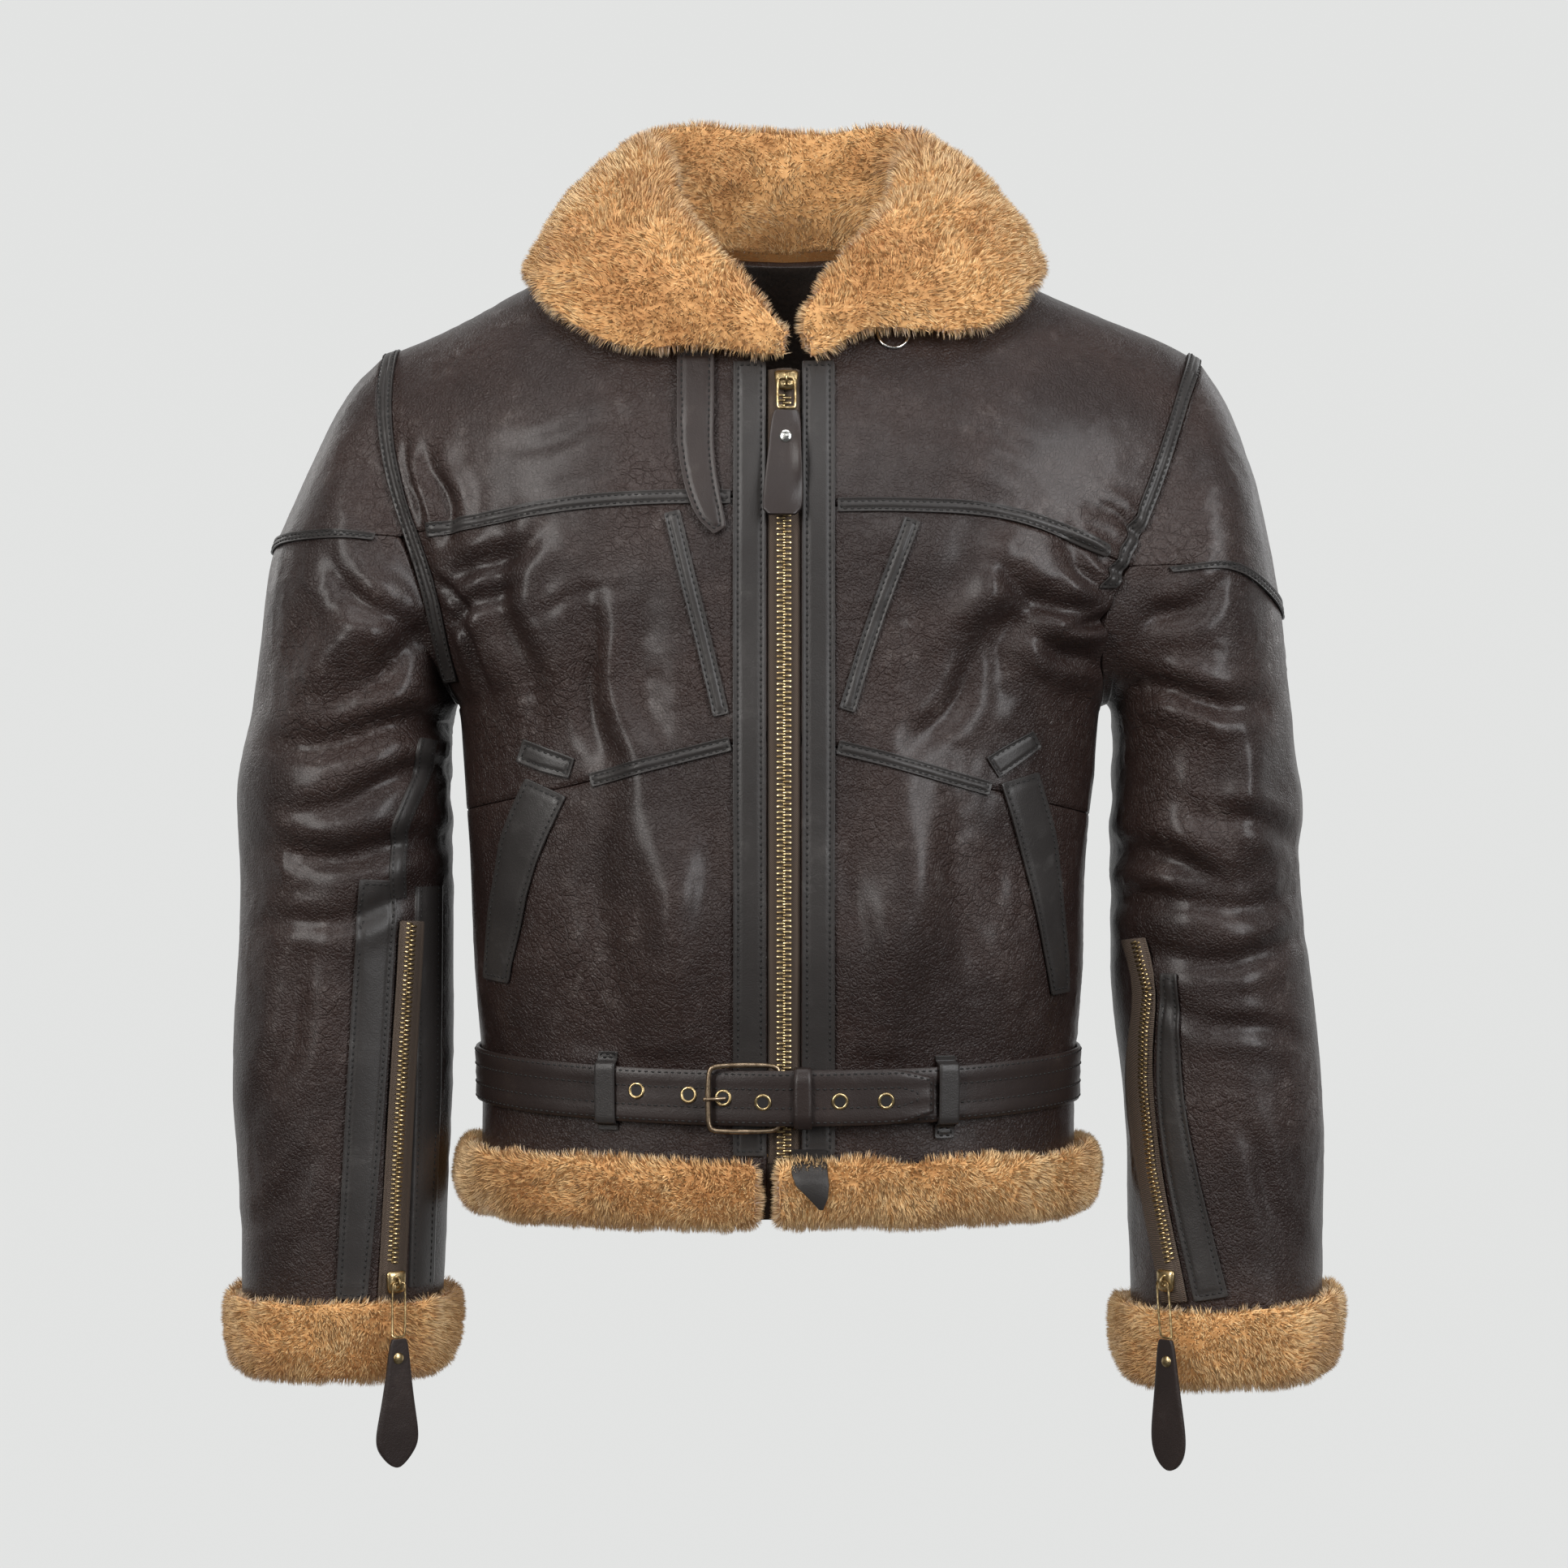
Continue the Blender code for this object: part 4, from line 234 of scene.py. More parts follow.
# Creases: the face, from (x, z) to (x, z), half width and depth, where a negative depth is a ridge
BODY_CREASES = (
    ("front", -0.2060, -0.236, -0.160, -0.208, 0.0065, 0.0040),
    ("front", -0.2120, -0.262, -0.172, -0.232, 0.0060, 0.0036),
    ("front", -0.2200, -0.160, -0.208, -0.200, 0.0055, 0.0034),
    ("front", -0.1760, -0.216, -0.160, -0.300, 0.0080, 0.0034),
    ("front", -0.1240, -0.250, -0.112, -0.330, 0.0075, 0.0030),
    ("front", -0.1080, -0.262, -0.094, -0.350, 0.0100, -0.0022),
    ("front", -0.0800, -0.372, -0.070, -0.505, 0.0210, -0.0044),
    ("front", -0.0500, -0.390, -0.046, -0.500, 0.0070, 0.0010),
    ("front", -0.1140, -0.385, -0.110, -0.480, 0.0080, 0.0012),
    ("front", -0.1480, -0.250, -0.100, -0.236, 0.0034, 0.0008),
    ("front", -0.1700, -0.146, -0.100, -0.134, 0.0050, 0.0006),
    ("front", -0.1500, -0.176, -0.090, -0.170, 0.0040, 0.0007),
    ("front", 0.1960, -0.258, 0.138, -0.232, 0.0070, 0.0042),
    ("front", 0.1980, -0.284, 0.150, -0.262, 0.0065, 0.0036),
    ("front", 0.2000, -0.240, 0.176, -0.214, 0.0060, 0.0034),
    ("front", 0.1340, -0.222, 0.104, -0.262, 0.0100, -0.0034),
    ("front", 0.1620, -0.238, 0.128, -0.292, 0.0090, 0.0034),
    ("front", 0.0740, -0.374, 0.068, -0.510, 0.0210, -0.0044),
    ("front", 0.0470, -0.390, 0.044, -0.500, 0.0070, 0.0010),
    ("front", 0.1080, -0.385, 0.110, -0.490, 0.0080, 0.0012),
    ("front", 0.1260, -0.270, 0.086, -0.330, 0.0070, 0.0024),
    ("front", 0.1600, -0.150, 0.100, -0.138, 0.0050, 0.0006),
    ("front", 0.1500, -0.182, 0.090, -0.174, 0.0040, 0.0007),
    ("front", -0.2370, -0.148, -0.229, -0.196, 0.0036, 0.0030),
    ("front", -0.2200, -0.226, -0.193, -0.262, 0.0034, 0.0030),
    ("front", -0.2120, -0.248, -0.184, -0.294, 0.0032, 0.0026),
    ("front", 0.2140, -0.226, 0.180, -0.212, 0.0034, 0.0030),
    ("front", 0.2080, -0.250, 0.176, -0.264, 0.0032, 0.0028),
    ("front", 0.2260, -0.202, 0.196, -0.186, 0.0036, 0.0024),
    ("back", -0.2000, -0.250, -0.110, -0.205, 0.0080, 0.0036),
    ("back", -0.1980, -0.290, -0.120, -0.270, 0.0070, 0.0030),
    ("back", 0.2000, -0.246, 0.118, -0.212, 0.0080, 0.0036),
    ("back", 0.1960, -0.292, 0.110, -0.262, 0.0070, 0.0030),
    ("back", -0.1300, -0.430, -0.020, -0.470, 0.0090, 0.0026),
    ("back", 0.1300, -0.420, 0.030, -0.480, 0.0090, 0.0026),
    ("back", -0.1500, -0.500, -0.040, -0.520, 0.0070, 0.0022),
    ("back", 0.1400, -0.505, 0.020, -0.515, 0.0070, 0.0022),
    ("back", -0.0600, -0.120, -0.050, -0.340, 0.0120, -0.0022),
    ("back", 0.0640, -0.130, 0.052, -0.350, 0.0120, -0.0022),
)


def lattice_noise(points, cell, seed):
    """Smooth noise from 0 to 1 on a lattice of cells."""
    place = points / cell
    corner = np.floor(place).astype(np.int64)
    share = place - corner
    share = share * share * (3 - 2 * share)
    total = np.zeros(len(points))
    for i in (0, 1):
        for j in (0, 1):
            for k in (0, 1):
                x, y, z = (corner + (i, j, k)).T
                value = (x * 73856093) ^ (y * 19349663) ^ (z * 83492791) ^ (seed * 2654435761)
                value = ((value ^ (value >> 13)) * 1274126177) & 0xFFFFFFFF
                value = ((value ^ (value >> 16)) & 0xFFFF) / 65535.0
                weight = np.ones(len(points))
                for axis, bit in enumerate((i, j, k)):
                    weight = weight * (share[:, axis] if bit else 1 - share[:, axis])
                total += value * weight
    return total


def ridged(points, cell, seed):
    """Noise from 0 to 1 whose high places are narrow ridges."""
    return 1 - np.abs(2 * lattice_noise(points, cell, seed) - 1)


def smoothstep(low, high, value):
    share = np.clip((value - low) / (high - low), 0, 1)
    return share * share * (3 - 2 * share)


def crease_heights(points, creases):
    """The height of all creases at each point; those of one face die away before the side."""
    height = np.zeros(len(points))
    front = smoothstep(-0.025, 0.025, -points[:, 1])
    faces = {"front": front, "back": 1 - front}
    for face, x0, z0, x1, z1, width, depth in creases:
        start, way = np.array((x0, z0)), np.array((x1 - x0, z1 - z0))
        length = np.hypot(*way)
        away = points[:, [0, 2]] - start
        along = away @ way / length**2
        bend = 0.06 * length * np.sin(along * math.pi * 1.5 + x0 * 90)
        across = (away[:, 0] * way[1] - away[:, 1] * way[0]) / length + bend
        beyond = np.maximum(0, np.abs(along - 0.5) - 0.5) * length
        taper = 0.45 + 0.55 * np.sin(np.clip(along, 0, 1) * math.pi)
        taper = np.exp(-((beyond / (2.2 * width)) ** 2)) * taper
        trough = np.exp(-((across / width) ** 2))
        banks = np.exp(-(((np.abs(across) - 2.1 * width) / (1.2 * width)) ** 2))
        height += CREASE_GAIN * depth * taper * faces[face] * (0.5 * banks - trough)
    return height


def crumple(points, seed):
    """The uneven swell of the hide, without its finest wrinkles."""
    stretched = points * (1.0, 1.0, 0.75)
    swell = (lattice_noise(stretched, 0.060, seed) - 0.5) * 0.0040
    ruffled = smoothstep(0.35, 0.75, lattice_noise(points, 0.09, seed + 2))
    return swell + (ridged(stretched, 0.028, seed + 1) - 0.5) * 0.0014 * ruffled


def wrinkles(points, seed):
    """The finest wrinkles, which the strips over the hide don't show."""
    wavy = points + (lattice_noise(points, 0.02, seed)[:, None] - 0.5) * 0.006
    fine = (ridged(wavy * (1.0, 1.0, 1.5), 0.0105, seed + 3) ** 2 - 0.4) * 0.00070
    return fine * (0.35 + 0.65 * smoothstep(0.4, 0.7, lattice_noise(points, 0.05, seed + 4)))


def armhole_out(z):
    """How far out the armhole seam lies at each height."""
    return np.interp(z, (-0.310, -0.250, -0.190, -0.140, -0.080), (0.207, 0.217, 0.240, 0.254, 0.266))


def body_way(points):
    """Outward from the body, rolling over to the shoulders."""
    up = np.maximum(0, points[:, 2] - SHOULDER_START) / 0.22**2
    way = np.column_stack([points[:, 0] / BODY_HALF**2, points[:, 1] / BODY_DEPTH**2, up])
    return way / np.linalg.norm(way, axis=1)[:, None]


def body_fold(points):
    """How far the large folds of the body move each point."""
    inside = smoothstep(0.0, SEAM_FADE, armhole_out(points[:, 2]) - np.abs(points[:, 0]))
    inside = np.where(points[:, 2] < -0.31, 1.0, inside)
    belted = 1 - smoothstep(BELT_TOP, BELT_INSIDE, points[:, 2]) * 0.85
    zipped = smoothstep(0.010, 0.045, np.abs(points[:, 0])) * 0.85 + 0.15
    drawn = 1 - 0.55 * smoothstep(-0.190, -0.150, points[:, 2])
    height = (crease_heights(points, BODY_CREASES) + crumple(points, 3) * drawn) * inside * belted
    height = np.where(points[:, 1] < 0, height * zipped, height)
    return body_way(points) * height[:, None]


def merged(node, bend=35):
    """A copy of a CAD piece with its loose triangles joined into faces that bend no more than this."""
    mesh = bmesh.new()
    mesh.from_mesh(nodes[node].data)
    bmesh.ops.remove_doubles(mesh, verts=mesh.verts, dist=1e-5)
    bmesh.ops.join_triangles(
        mesh, faces=mesh.faces, angle_face_threshold=math.radians(bend),
        angle_shape_threshold=math.radians(180 - bend),
    )
    return mesh


SHARP = math.radians(40)
FLAT_ENOUGH = math.radians(50)  # edges of small parts that bend more than this stay sharp


def evaluated_copy(obj):
    bpy.context.view_layer.update()
    return bpy.data.meshes.new_from_object(obj.evaluated_get(bpy.context.evaluated_depsgraph_get()))


def finer(name, mesh, levels, crease=0.9):
    """An object of the mesh, subdivided, its sharp edges kept."""
    layer = mesh.edges.layers.float.get("crease_edge") or mesh.edges.layers.float.new("crease_edge")
    for edge in mesh.edges:
        if len(edge.link_faces) == 2 and edge.calc_face_angle(0.0) > SHARP:
            edge[layer] = crease
    data = bpy.data.meshes.new(name)
    mesh.to_mesh(data)
    mesh.free()
    obj = bpy.data.objects.new(name, data)
    bpy.context.scene.collection.objects.link(obj)
    subdivision = obj.modifiers.new("finer", "SUBSURF")
    subdivision.levels = levels
    subdivision.render_levels = levels
    subdivision.boundary_smooth = "PRESERVE_CORNERS"
    obj.data = evaluated_copy(obj)
    obj.modifiers.clear()
    obj.data.name = name
    obj.data.shade_smooth()
    return obj


def read_points(obj):
    points = np.zeros(len(obj.data.vertices) * 3)
    obj.data.vertices.foreach_get("co", points)
    return points.reshape(-1, 3)


def write_points(obj, points):
    obj.data.vertices.foreach_set("co", points.ravel())
    obj.data.update()


def read_normals(obj):
    return np.array([normal.vector for normal in obj.data.vertex_normals])


def line_inside(obj, way):
    """Gives the faces of a wall that look inwards the pile painted dark as shade."""
    obj.data.materials.append(SHADE_PAINTED_PILE)
    middles = np.array([face.center for face in obj.data.polygons])
    normals = np.array([face.normal for face in obj.data.polygons])
    inner = (normals * way(middles)).sum(axis=1) < -0.3
    obj.data.polygons.foreach_set("material_index", inner.astype(np.int32))
    obj.data.update()


def finish_piece(obj, material, body, node):
    """Gives a piece its material, hangs it on its body and hides the node of the frame that it stands for."""
    obj.data.materials.append(material)
    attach(obj, body)
    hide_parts(node)
    return obj


body_shells = {}
for node, flat in BODY_PIECES.items():
    shell = finer(node + "_hide", merged(node), 2 if node == "back" else 3)
    points = read_points(shell)
    edge = smoothstep(0.0, SEAM_FADE, np.abs(armhole_out(points[:, 2]) - np.abs(points[:, 0])))
    fine = wrinkles(points, 11) * edge
    write_points(shell, points + body_fold(points) + body_way(points) * fine[:, None])
    finish_piece(shell, SHEEPSKIN, "jacket", node)
    # the inward faces take the pile painted dark, the shade inside the jacket
    line_inside(shell, body_way)
    body_shells[node] = (shell, flat, None)


# Sleeves: each a tube of sheepskin, sewn into the armhole, with a cap above its band. It hangs slack, with
# deep creases at the elbow and softer ones under the arm. The axis has (x, z) down the wearer's left sleeve.
SLEEVE_AXIS = (
    (0.235, -0.194), (0.268, -0.250), (0.278, -0.307), (0.285, -0.375), (0.284, -0.425), (0.287, -0.560),
    (0.287, -0.760),
)
SLEEVE_PIECES = {"sleeve": (0.470, 0.560), "sleeve_cap": (0.330, 0.170)}
CAP_AREA = {"r": 0.028, "l": 0.035}  # square metres, as a cap is cut as a crescent
SLEEVE_TOP, CUFF_TOP = -0.318, -0.670
SIDES = {"r": -1, "l": 1}
SLEEVE_CREASES = {
    "r": (
        ("front", 0.2150, -0.322, 0.3080, -0.330, 0.0080, 0.0042),
        ("front", 0.2180, -0.350, 0.3000, -0.372, 0.0060, 0.0026),
        ("front", 0.2240, -0.398, 0.3060, -0.400, 0.0075, 0.0040),
        ("front", 0.2180, -0.262, 0.2700, -0.300, 0.0080, 0.0034),
        ("front", 0.2800, -0.228, 0.2400, -0.262, 0.0075, 0.0030),
        ("front", 0.2600, -0.250, 0.3000, -0.300, 0.0120, -0.0034),
        ("front", 0.2400, -0.430, 0.3200, -0.450, 0.0060, 0.0022),
        ("front", 0.3000, -0.470, 0.3300, -0.560, 0.0080, 0.0018),
        ("front", 0.3000, -0.600, 0.3400, -0.640, 0.0060, 0.0016),
        ("back", 0.2300, -0.300, 0.3300, -0.320, 0.0080, 0.0034),
        ("back", 0.2300, -0.372, 0.3300, -0.384, 0.0080, 0.0036),
        ("back", 0.2300, -0.420, 0.3200, -0.440, 0.0070, 0.0028),
        ("back", 0.2300, -0.500, 0.2900, -0.600, 0.0080, 0.0020),
    ),
    "l": (
        ("front", 0.2200, -0.300, 0.2940, -0.306, 0.0070, 0.0040),
        ("front", 0.2160, -0.402, 0.2860, -0.418, 0.0075, 0.0042),
        ("front", 0.2180, -0.436, 0.3060, -0.430, 0.0065, 0.0036),
        ("front", 0.2340, -0.470, 0.3200, -0.462, 0.0065, 0.0030),
        ("front", 0.2600, -0.372, 0.3200, -0.392, 0.0065, 0.0026),
        ("front", 0.2500, -0.500, 0.3180, -0.520, 0.0055, 0.0020),
        ("front", 0.2900, -0.330, 0.2960, -0.380, 0.0110, -0.0030),
        ("front", 0.2200, -0.262, 0.2640, -0.240, 0.0070, 0.0032),
        ("front", 0.2900, -0.580, 0.3200, -0.640, 0.0060, 0.0016),
        ("back", 0.2300, -0.310, 0.3200, -0.324, 0.0080, 0.0034),
        ("back", 0.2300, -0.376, 0.3200, -0.388, 0.0080, 0.0036),
        ("back", 0.2300, -0.430, 0.3100, -0.446, 0.0070, 0.0028),
        ("back", 0.2400, -0.510, 0.2900, -0.610, 0.0080, 0.0020),
    ),
}


def sleeve_way(points, sign):
    """Outward from the sleeve's own axis."""
    flat = points * (sign, 1.0, 1.0)
    best, nearest = np.full(len(points), 1e9), np.zeros((len(points), 3))
    for (x0, z0), (x1, z1) in zip(SLEEVE_AXIS, SLEEVE_AXIS[1:]):
        start, way = np.array((x0, 0.0, z0)), np.array((x1 - x0, 0.0, z1 - z0))
        share = np.clip((flat - start) @ way / (way @ way), 0, 1)
        spot = start + share[:, None] * way
        away = np.linalg.norm(flat - spot, axis=1)
        nearer = away < best
        best = np.where(nearer, away, best)
        nearest[nearer] = spot[nearer]
    out = (flat - nearest) / np.maximum(best, 1e-6)[:, None]
    return out * (sign, 1.0, 1.0)


def sleeve_fold(points, side):
    """How far the large folds of a sleeve move each point."""
    sign = SIDES[side]
    flat = points * (sign, 1.0, 1.0)
    outside = smoothstep(0.0, SEAM_FADE, flat[:, 0] - armhole_out(points[:, 2]))
    outside = np.maximum(outside, smoothstep(-0.306, -0.322, points[:, 2]))
    outside = np.where(points[:, 2] < SLEEVE_TOP, 1.0, outside)
    cuffed = 1 - smoothstep(-0.660, -0.690, points[:, 2]) * 0.8
    height = (crease_heights(flat, SLEEVE_CREASES[side]) + crumple(points, 7)) * outside * cuffed
    return sleeve_way(points, sign) * height[:, None]


sleeve_shells = {}
for side, sign in SIDES.items():
    for kind, flat in SLEEVE_PIECES.items():
        node = f"{kind}_{side}"
        shell = finer(node + "_hide", merged(node), 3)
        points = read_points(shell)
        fade = smoothstep(0.0, SEAM_FADE, np.abs(np.abs(points[:, 0]) - armhole_out(points[:, 2])))
        fade = np.where(points[:, 2] < -0.32, 1.0, fade) * (1 - smoothstep(CUFF_TOP, -0.70, points[:, 2]))
        fine = wrinkles(points, 17) * fade
        way = sleeve_way(points, sign)
        write_points(shell, points + sleeve_fold(points, side) + way * fine[:, None])
        finish_piece(shell, SHEEPSKIN, "jacket", node)
        line_inside(shell, lambda middles, sign=sign: sleeve_way(middles, sign))
        sleeve_shells[node] = (shell, flat, CAP_AREA[side] if kind == "sleeve_cap" else None)


# Fur: sheep's pile clipped short, dyed ginger. The collar is sewn into the neck and turned down with its pile
# outwards; the hem and the cuffs are turned up the same way. Each is a soft core with fine blades of pile
# standing in it. The blades are painted darker at the root, where the attribute "tip" is 0, as painted shade
# deep in the pile, and paler at the tip as painted light; the pile also glows faintly, painted light that
# lifts its shadows.
PAINTED_SHADE_ROOT, MIDDLE, PAINTED_LIGHT_TIP = (0.440, 0.215, 0.082), (0.700, 0.420, 0.180), (0.860, 0.600, 0.310)
SHADE = (0.540, 0.280, 0.110)


def fur_material():
    material, tree, shader = new_material("ginger pile")
    place = tree.nodes.new("ShaderNodeTexCoord").outputs["Object"]
    tip = tree.nodes.new("ShaderNodeAttribute")
    tip.attribute_name = "tip"
    clump = tree.nodes.new("ShaderNodeAttribute")
    clump.attribute_name = "clump"
    patch = add_range(tree, add_noise(tree, place, 17.0, detail=4.0).outputs["Fac"], 0.35, 0.65)
    along = add_math(tree, "MULTIPLY", tip.outputs["Fac"], add_range(tree, patch, 0.0, 1.0, 0.50, 1.10))
    # painted shade at the root and painted light at the tip: the colour runs from the dark root colour to the
    # pale tip colour along each blade
    low = mix_colours(tree, add_range(tree, along, 0.0, 0.40), PAINTED_SHADE_ROOT, MIDDLE)
    tone = mix_colours(tree, add_range(tree, along, 0.30, 0.80), low, PAINTED_LIGHT_TIP)
    tone = mix_colours(tree, add_math(tree, "MULTIPLY", clump.outputs["Fac"], 0.25), tone, SHADE)
    tree.links.new(tone, shader.inputs["Base Color"])
    shader.inputs["Roughness"].default_value = 0.85
    shader.inputs["Specular IOR Level"].default_value = 0.25
    shader.inputs["Sheen Weight"].default_value = 0.25
    shader.inputs["Sheen Roughness"].default_value = 0.5
    # painted light: the pile glows faintly in its own colour, lifting the shade between its blades
    tree.links.new(tone, shader.inputs["Emission Color"])
    shader.inputs["Emission Strength"].default_value = 0.13
    return material


FUR = fur_material()


def add_attribute(obj, name, values):
    layer = obj.data.attributes.new(name, "FLOAT", "POINT")
    layer.data.foreach_set("value", values.astype(np.float32))


def spread(obj, count, rng, keep):
    """Random places on the mesh's faces, evenly by area, with their normals."""
    data = obj.data
    data.calc_loop_triangles()
    corners = np.zeros(len(data.loop_triangles) * 3, np.int64)
    data.loop_triangles.foreach_get("vertices", corners)
    corners = corners.reshape(-1, 3)
    points, normals = read_points(obj), read_normals(obj)
    a, b, c = (points[corners[:, i]] for i in range(3))
    areas = np.linalg.norm(np.cross(b - a, c - a), axis=1)
    middles = (a + b + c) / 3
    areas = areas * keep(middles, np.cross(b - a, c - a) / np.maximum(areas, 1e-12)[:, None])
    chosen = rng.choice(len(areas), count, p=areas / areas.sum())
    first, second = rng.random(count), rng.random(count)
    over = first + second > 1
    first[over], second[over] = 1 - first[over], 1 - second[over]
    shares = np.column_stack([1 - first - second, first, second])
    spots = (points[corners[chosen]] * shares[:, :, None]).sum(axis=1)
    ways = (normals[corners[chosen]] * shares[:, :, None]).sum(axis=1)
    return spots, ways / np.linalg.norm(ways, axis=1)[:, None]


def all_over(middles, normals):
    return np.ones(len(middles))


def locks(name, core, count, length, width, seed, comb, keep, clump_size=0.0055):
    """Fine blades of pile on a core, a triangle each, that lean together in clumps."""
    rng = np.random.default_rng(seed)
    spots, ways = spread(core, count, rng, keep)
    area = sum(face.area for face in core.data.polygons)
    centres = spread(core, int(area / clump_size**2), rng, all_over)[0]
    tree = KDTree(len(centres))
    for index, centre in enumerate(centres):
        tree.insert(centre, index)
    tree.balance()
    nearest = np.array([tree.find(spot)[1] for spot in spots])
    swirl = np.column_stack([lattice_noise(spots, 0.022, seed + axis) - 0.5 for axis in range(3)])
    clump_lean = rng.normal(0, 1, (len(centres), 3))[nearest]
    lean = ways + swirl * 1.1 + clump_lean * 0.12 + np.array(comb) + rng.normal(0, 0.12, spots.shape)
    lean = lean / np.linalg.norm(lean, axis=1)[:, None]
    clump_height = rng.uniform(0.86, 1.10, len(centres))[nearest]
    size = length * clump_height * rng.uniform(0.80, 1.08, count)
    tips = spots + lean * size[:, None] + (centres[nearest] - spots) * 0.20
    side = np.cross(lean, rng.normal(0, 1, spots.shape))
    side = side / np.linalg.norm(side, axis=1)[:, None] * width * rng.uniform(0.7, 1.3, count)[:, None]
    root = spots - ways * length * 0.20
    vertices = np.stack([root - side, root + side, tips], axis=1)
    data = bpy.data.meshes.new(name)
    data.from_pydata(vertices.reshape(-1, 3), [], np.arange(count * 3).reshape(-1, 3).tolist())
    obj = bpy.data.objects.new(name, data)
    bpy.context.scene.collection.objects.link(obj)
    add_attribute(obj, "tip", np.tile([0.0, 0.0, 1.0], count))
    add_attribute(obj, "clump", np.repeat(rng.random(len(centres))[nearest] ** 2, 3))
    data.shade_smooth()
    around = rng.normal(0, 0.13, spots.shape) + ways + lean * 0.35
    around = around / np.linalg.norm(around, axis=1)[:, None]
    data.normals_split_custom_set_from_vertices(np.repeat(around, 3, axis=0))
    data.materials.append(FUR)
    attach(obj, "jacket")
    return obj


def fur_core(node, levels, inset, seed):
    """The skin and dense roots under the locks, set inside the solid's outer form."""
    core = finer(node + "_core", merged(node), levels, crease=0.3)
    points, normals = read_points(core), read_normals(core)
    uneven = (lattice_noise(points, 0.013, seed) - 0.5) * 0.0034
    uneven = uneven + (lattice_noise(points, 0.040, seed + 1) - 0.5) * 0.0040
    write_points(core, points - normals * (inset - uneven)[:, None])
    # the core takes a colour near the root's, painted shade under the blades
    add_attribute(core, "tip", np.full(len(points), 0.22))
    add_attribute(core, "clump", lattice_noise(points, 0.012, seed + 2) ** 2)
    finish_piece(core, FUR, "jacket", node)
    return core


def joined_tree(shells):
    """One search tree over several pieces."""
    vertices, polygons = [], []
    for shell in shells:
        base = len(vertices)
        vertices += [vertex.co.copy() for vertex in shell.data.vertices]
        polygons += [[base + index for index in face.vertices] for face in shell.data.polygons]
    return BVHTree.FromPolygons(vertices, polygons)


HIDE_TREE = joined_tree([shell for shell, flat, area in body_shells.values()])


def clear_of_hide(middles, normals):
    """Thins the pile on the faces that lie against the hide."""
    kept = np.ones(len(middles))
    for index in range(len(middles)):
        start = Vector(middles[index]) + Vector(normals[index]) * 0.0005
        if HIDE_TREE.ray_cast(start, Vector(normals[index]), 0.011)[0] is not None:
            kept[index] = 0.04
    return kept


BLADE_WIDTH = 0.00046
DROOP, COLLAR_DROOP = (0, 0, -0.15), (0, 0, -0.30)
COLLAR_FLAT, COLLAR_PILE, COLLAR_BLADES = (0.720, 0.175), 0.0066, 180000
collar_core = fur_core("collar", 2, 0.0030, 21)
collar_locks = locks("collar_locks", collar_core, COLLAR_BLADES, COLLAR_PILE, BLADE_WIDTH, 31, COLLAR_DROOP,
                     clear_of_hide)

HEM_FLAT, TURNED_PILE, HEM_BLADES = (1.110, 0.058), 0.0062, 120000
hem_core = fur_core("hem_fur", 2, 0.0028, 22)
hem_locks = locks("hem_locks", hem_core, HEM_BLADES, TURNED_PILE, BLADE_WIDTH, 32, DROOP, clear_of_hide)

CUFF_FLAT, CUFF_BLADES = (0.480, 0.062), 65000
for side in SIDES:
    cuff_core = fur_core(f"cuff_fur_{side}", 2, 0.0028, 23)
    cuff_locks = locks(f"cuff_locks_{side}", cuff_core, CUFF_BLADES, TURNED_PILE, BLADE_WIDTH, 33, DROOP,
                       all_over)


# Seam strips, plackets, pocket welts and straps: smoother leather laid over the seams, its edges turned
# under, and sewn down near each edge with dark waxed thread, a stitch about every four millimetres. The nodes
# are listed by the piece that they lie on, with the width and length of their cut.
STRIP_NODES = {
    "body": {
        "placket_r": (0.020, 0.495), "placket_l": (0.020, 0.495), "yoke_strip_r": (0.010, 0.200),
        "yoke_strip_l": (0.010, 0.178), "chest_strip_r": (0.0112, 0.130), "chest_strip_l": (0.0112, 0.126),
        "waist_strip_r": (0.0100, 0.098), "waist_strip_l": (0.0100, 0.105),
        "armhole_strip_r": (0.0135, 0.440),
        "armhole_strip_l": (0.0135, 0.372), "pocket_welt_r": (0.030, 0.140), "pocket_welt_l": (0.030, 0.140),
        "pocket_tab_r": (0.0155, 0.040), "pocket_tab_l": (0.0150, 0.040), "throat_strap": (0.0225, 0.118),
        "belt_loop_r": (0.0135, 0.060), "belt_loop_l": (0.0135, 0.065), "d_ring_loop": (0.0100, 0.020),
    },
    "r": {"sleeve_band_r": (0.0105, 0.200), "cuff_facing_r": (0.0255, 0.268)},
    "l": {"sleeve_band_l": (0.0105, 0.225), "cuff_facing_l": (0.0210, 0.208)},
}
STITCH_PITCH, STITCH_LENGTH, STITCH_THICK = 0.0042, 0.0029, 0.0013
STITCH_INSET, PLACKET_INSET = 0.0020, 0.0030
GROOVE_DEPTH, GROOVE_WIDTH = 0.0009, 0.0012
RIDGE_PAIR_DEPTH = 0.0016  # the armhole strip's middle, below its two ridges


def thread_material():
    material, tree, shader = new_material("waxed thread")
    place = tree.nodes.new("ShaderNodeTexCoord").outputs["Object"]
    twist = add_noise(tree, place, 1500.0, detail=2.0).outputs["Fac"]
    tone = mix_colours(tree, twist, (0.003, 0.0025, 0.002), (0.008, 0.0065, 0.006))
    tree.links.new(tone, shader.inputs["Base Color"])
    shader.inputs["Roughness"].default_value = 0.7
    return material


THREAD = thread_material()


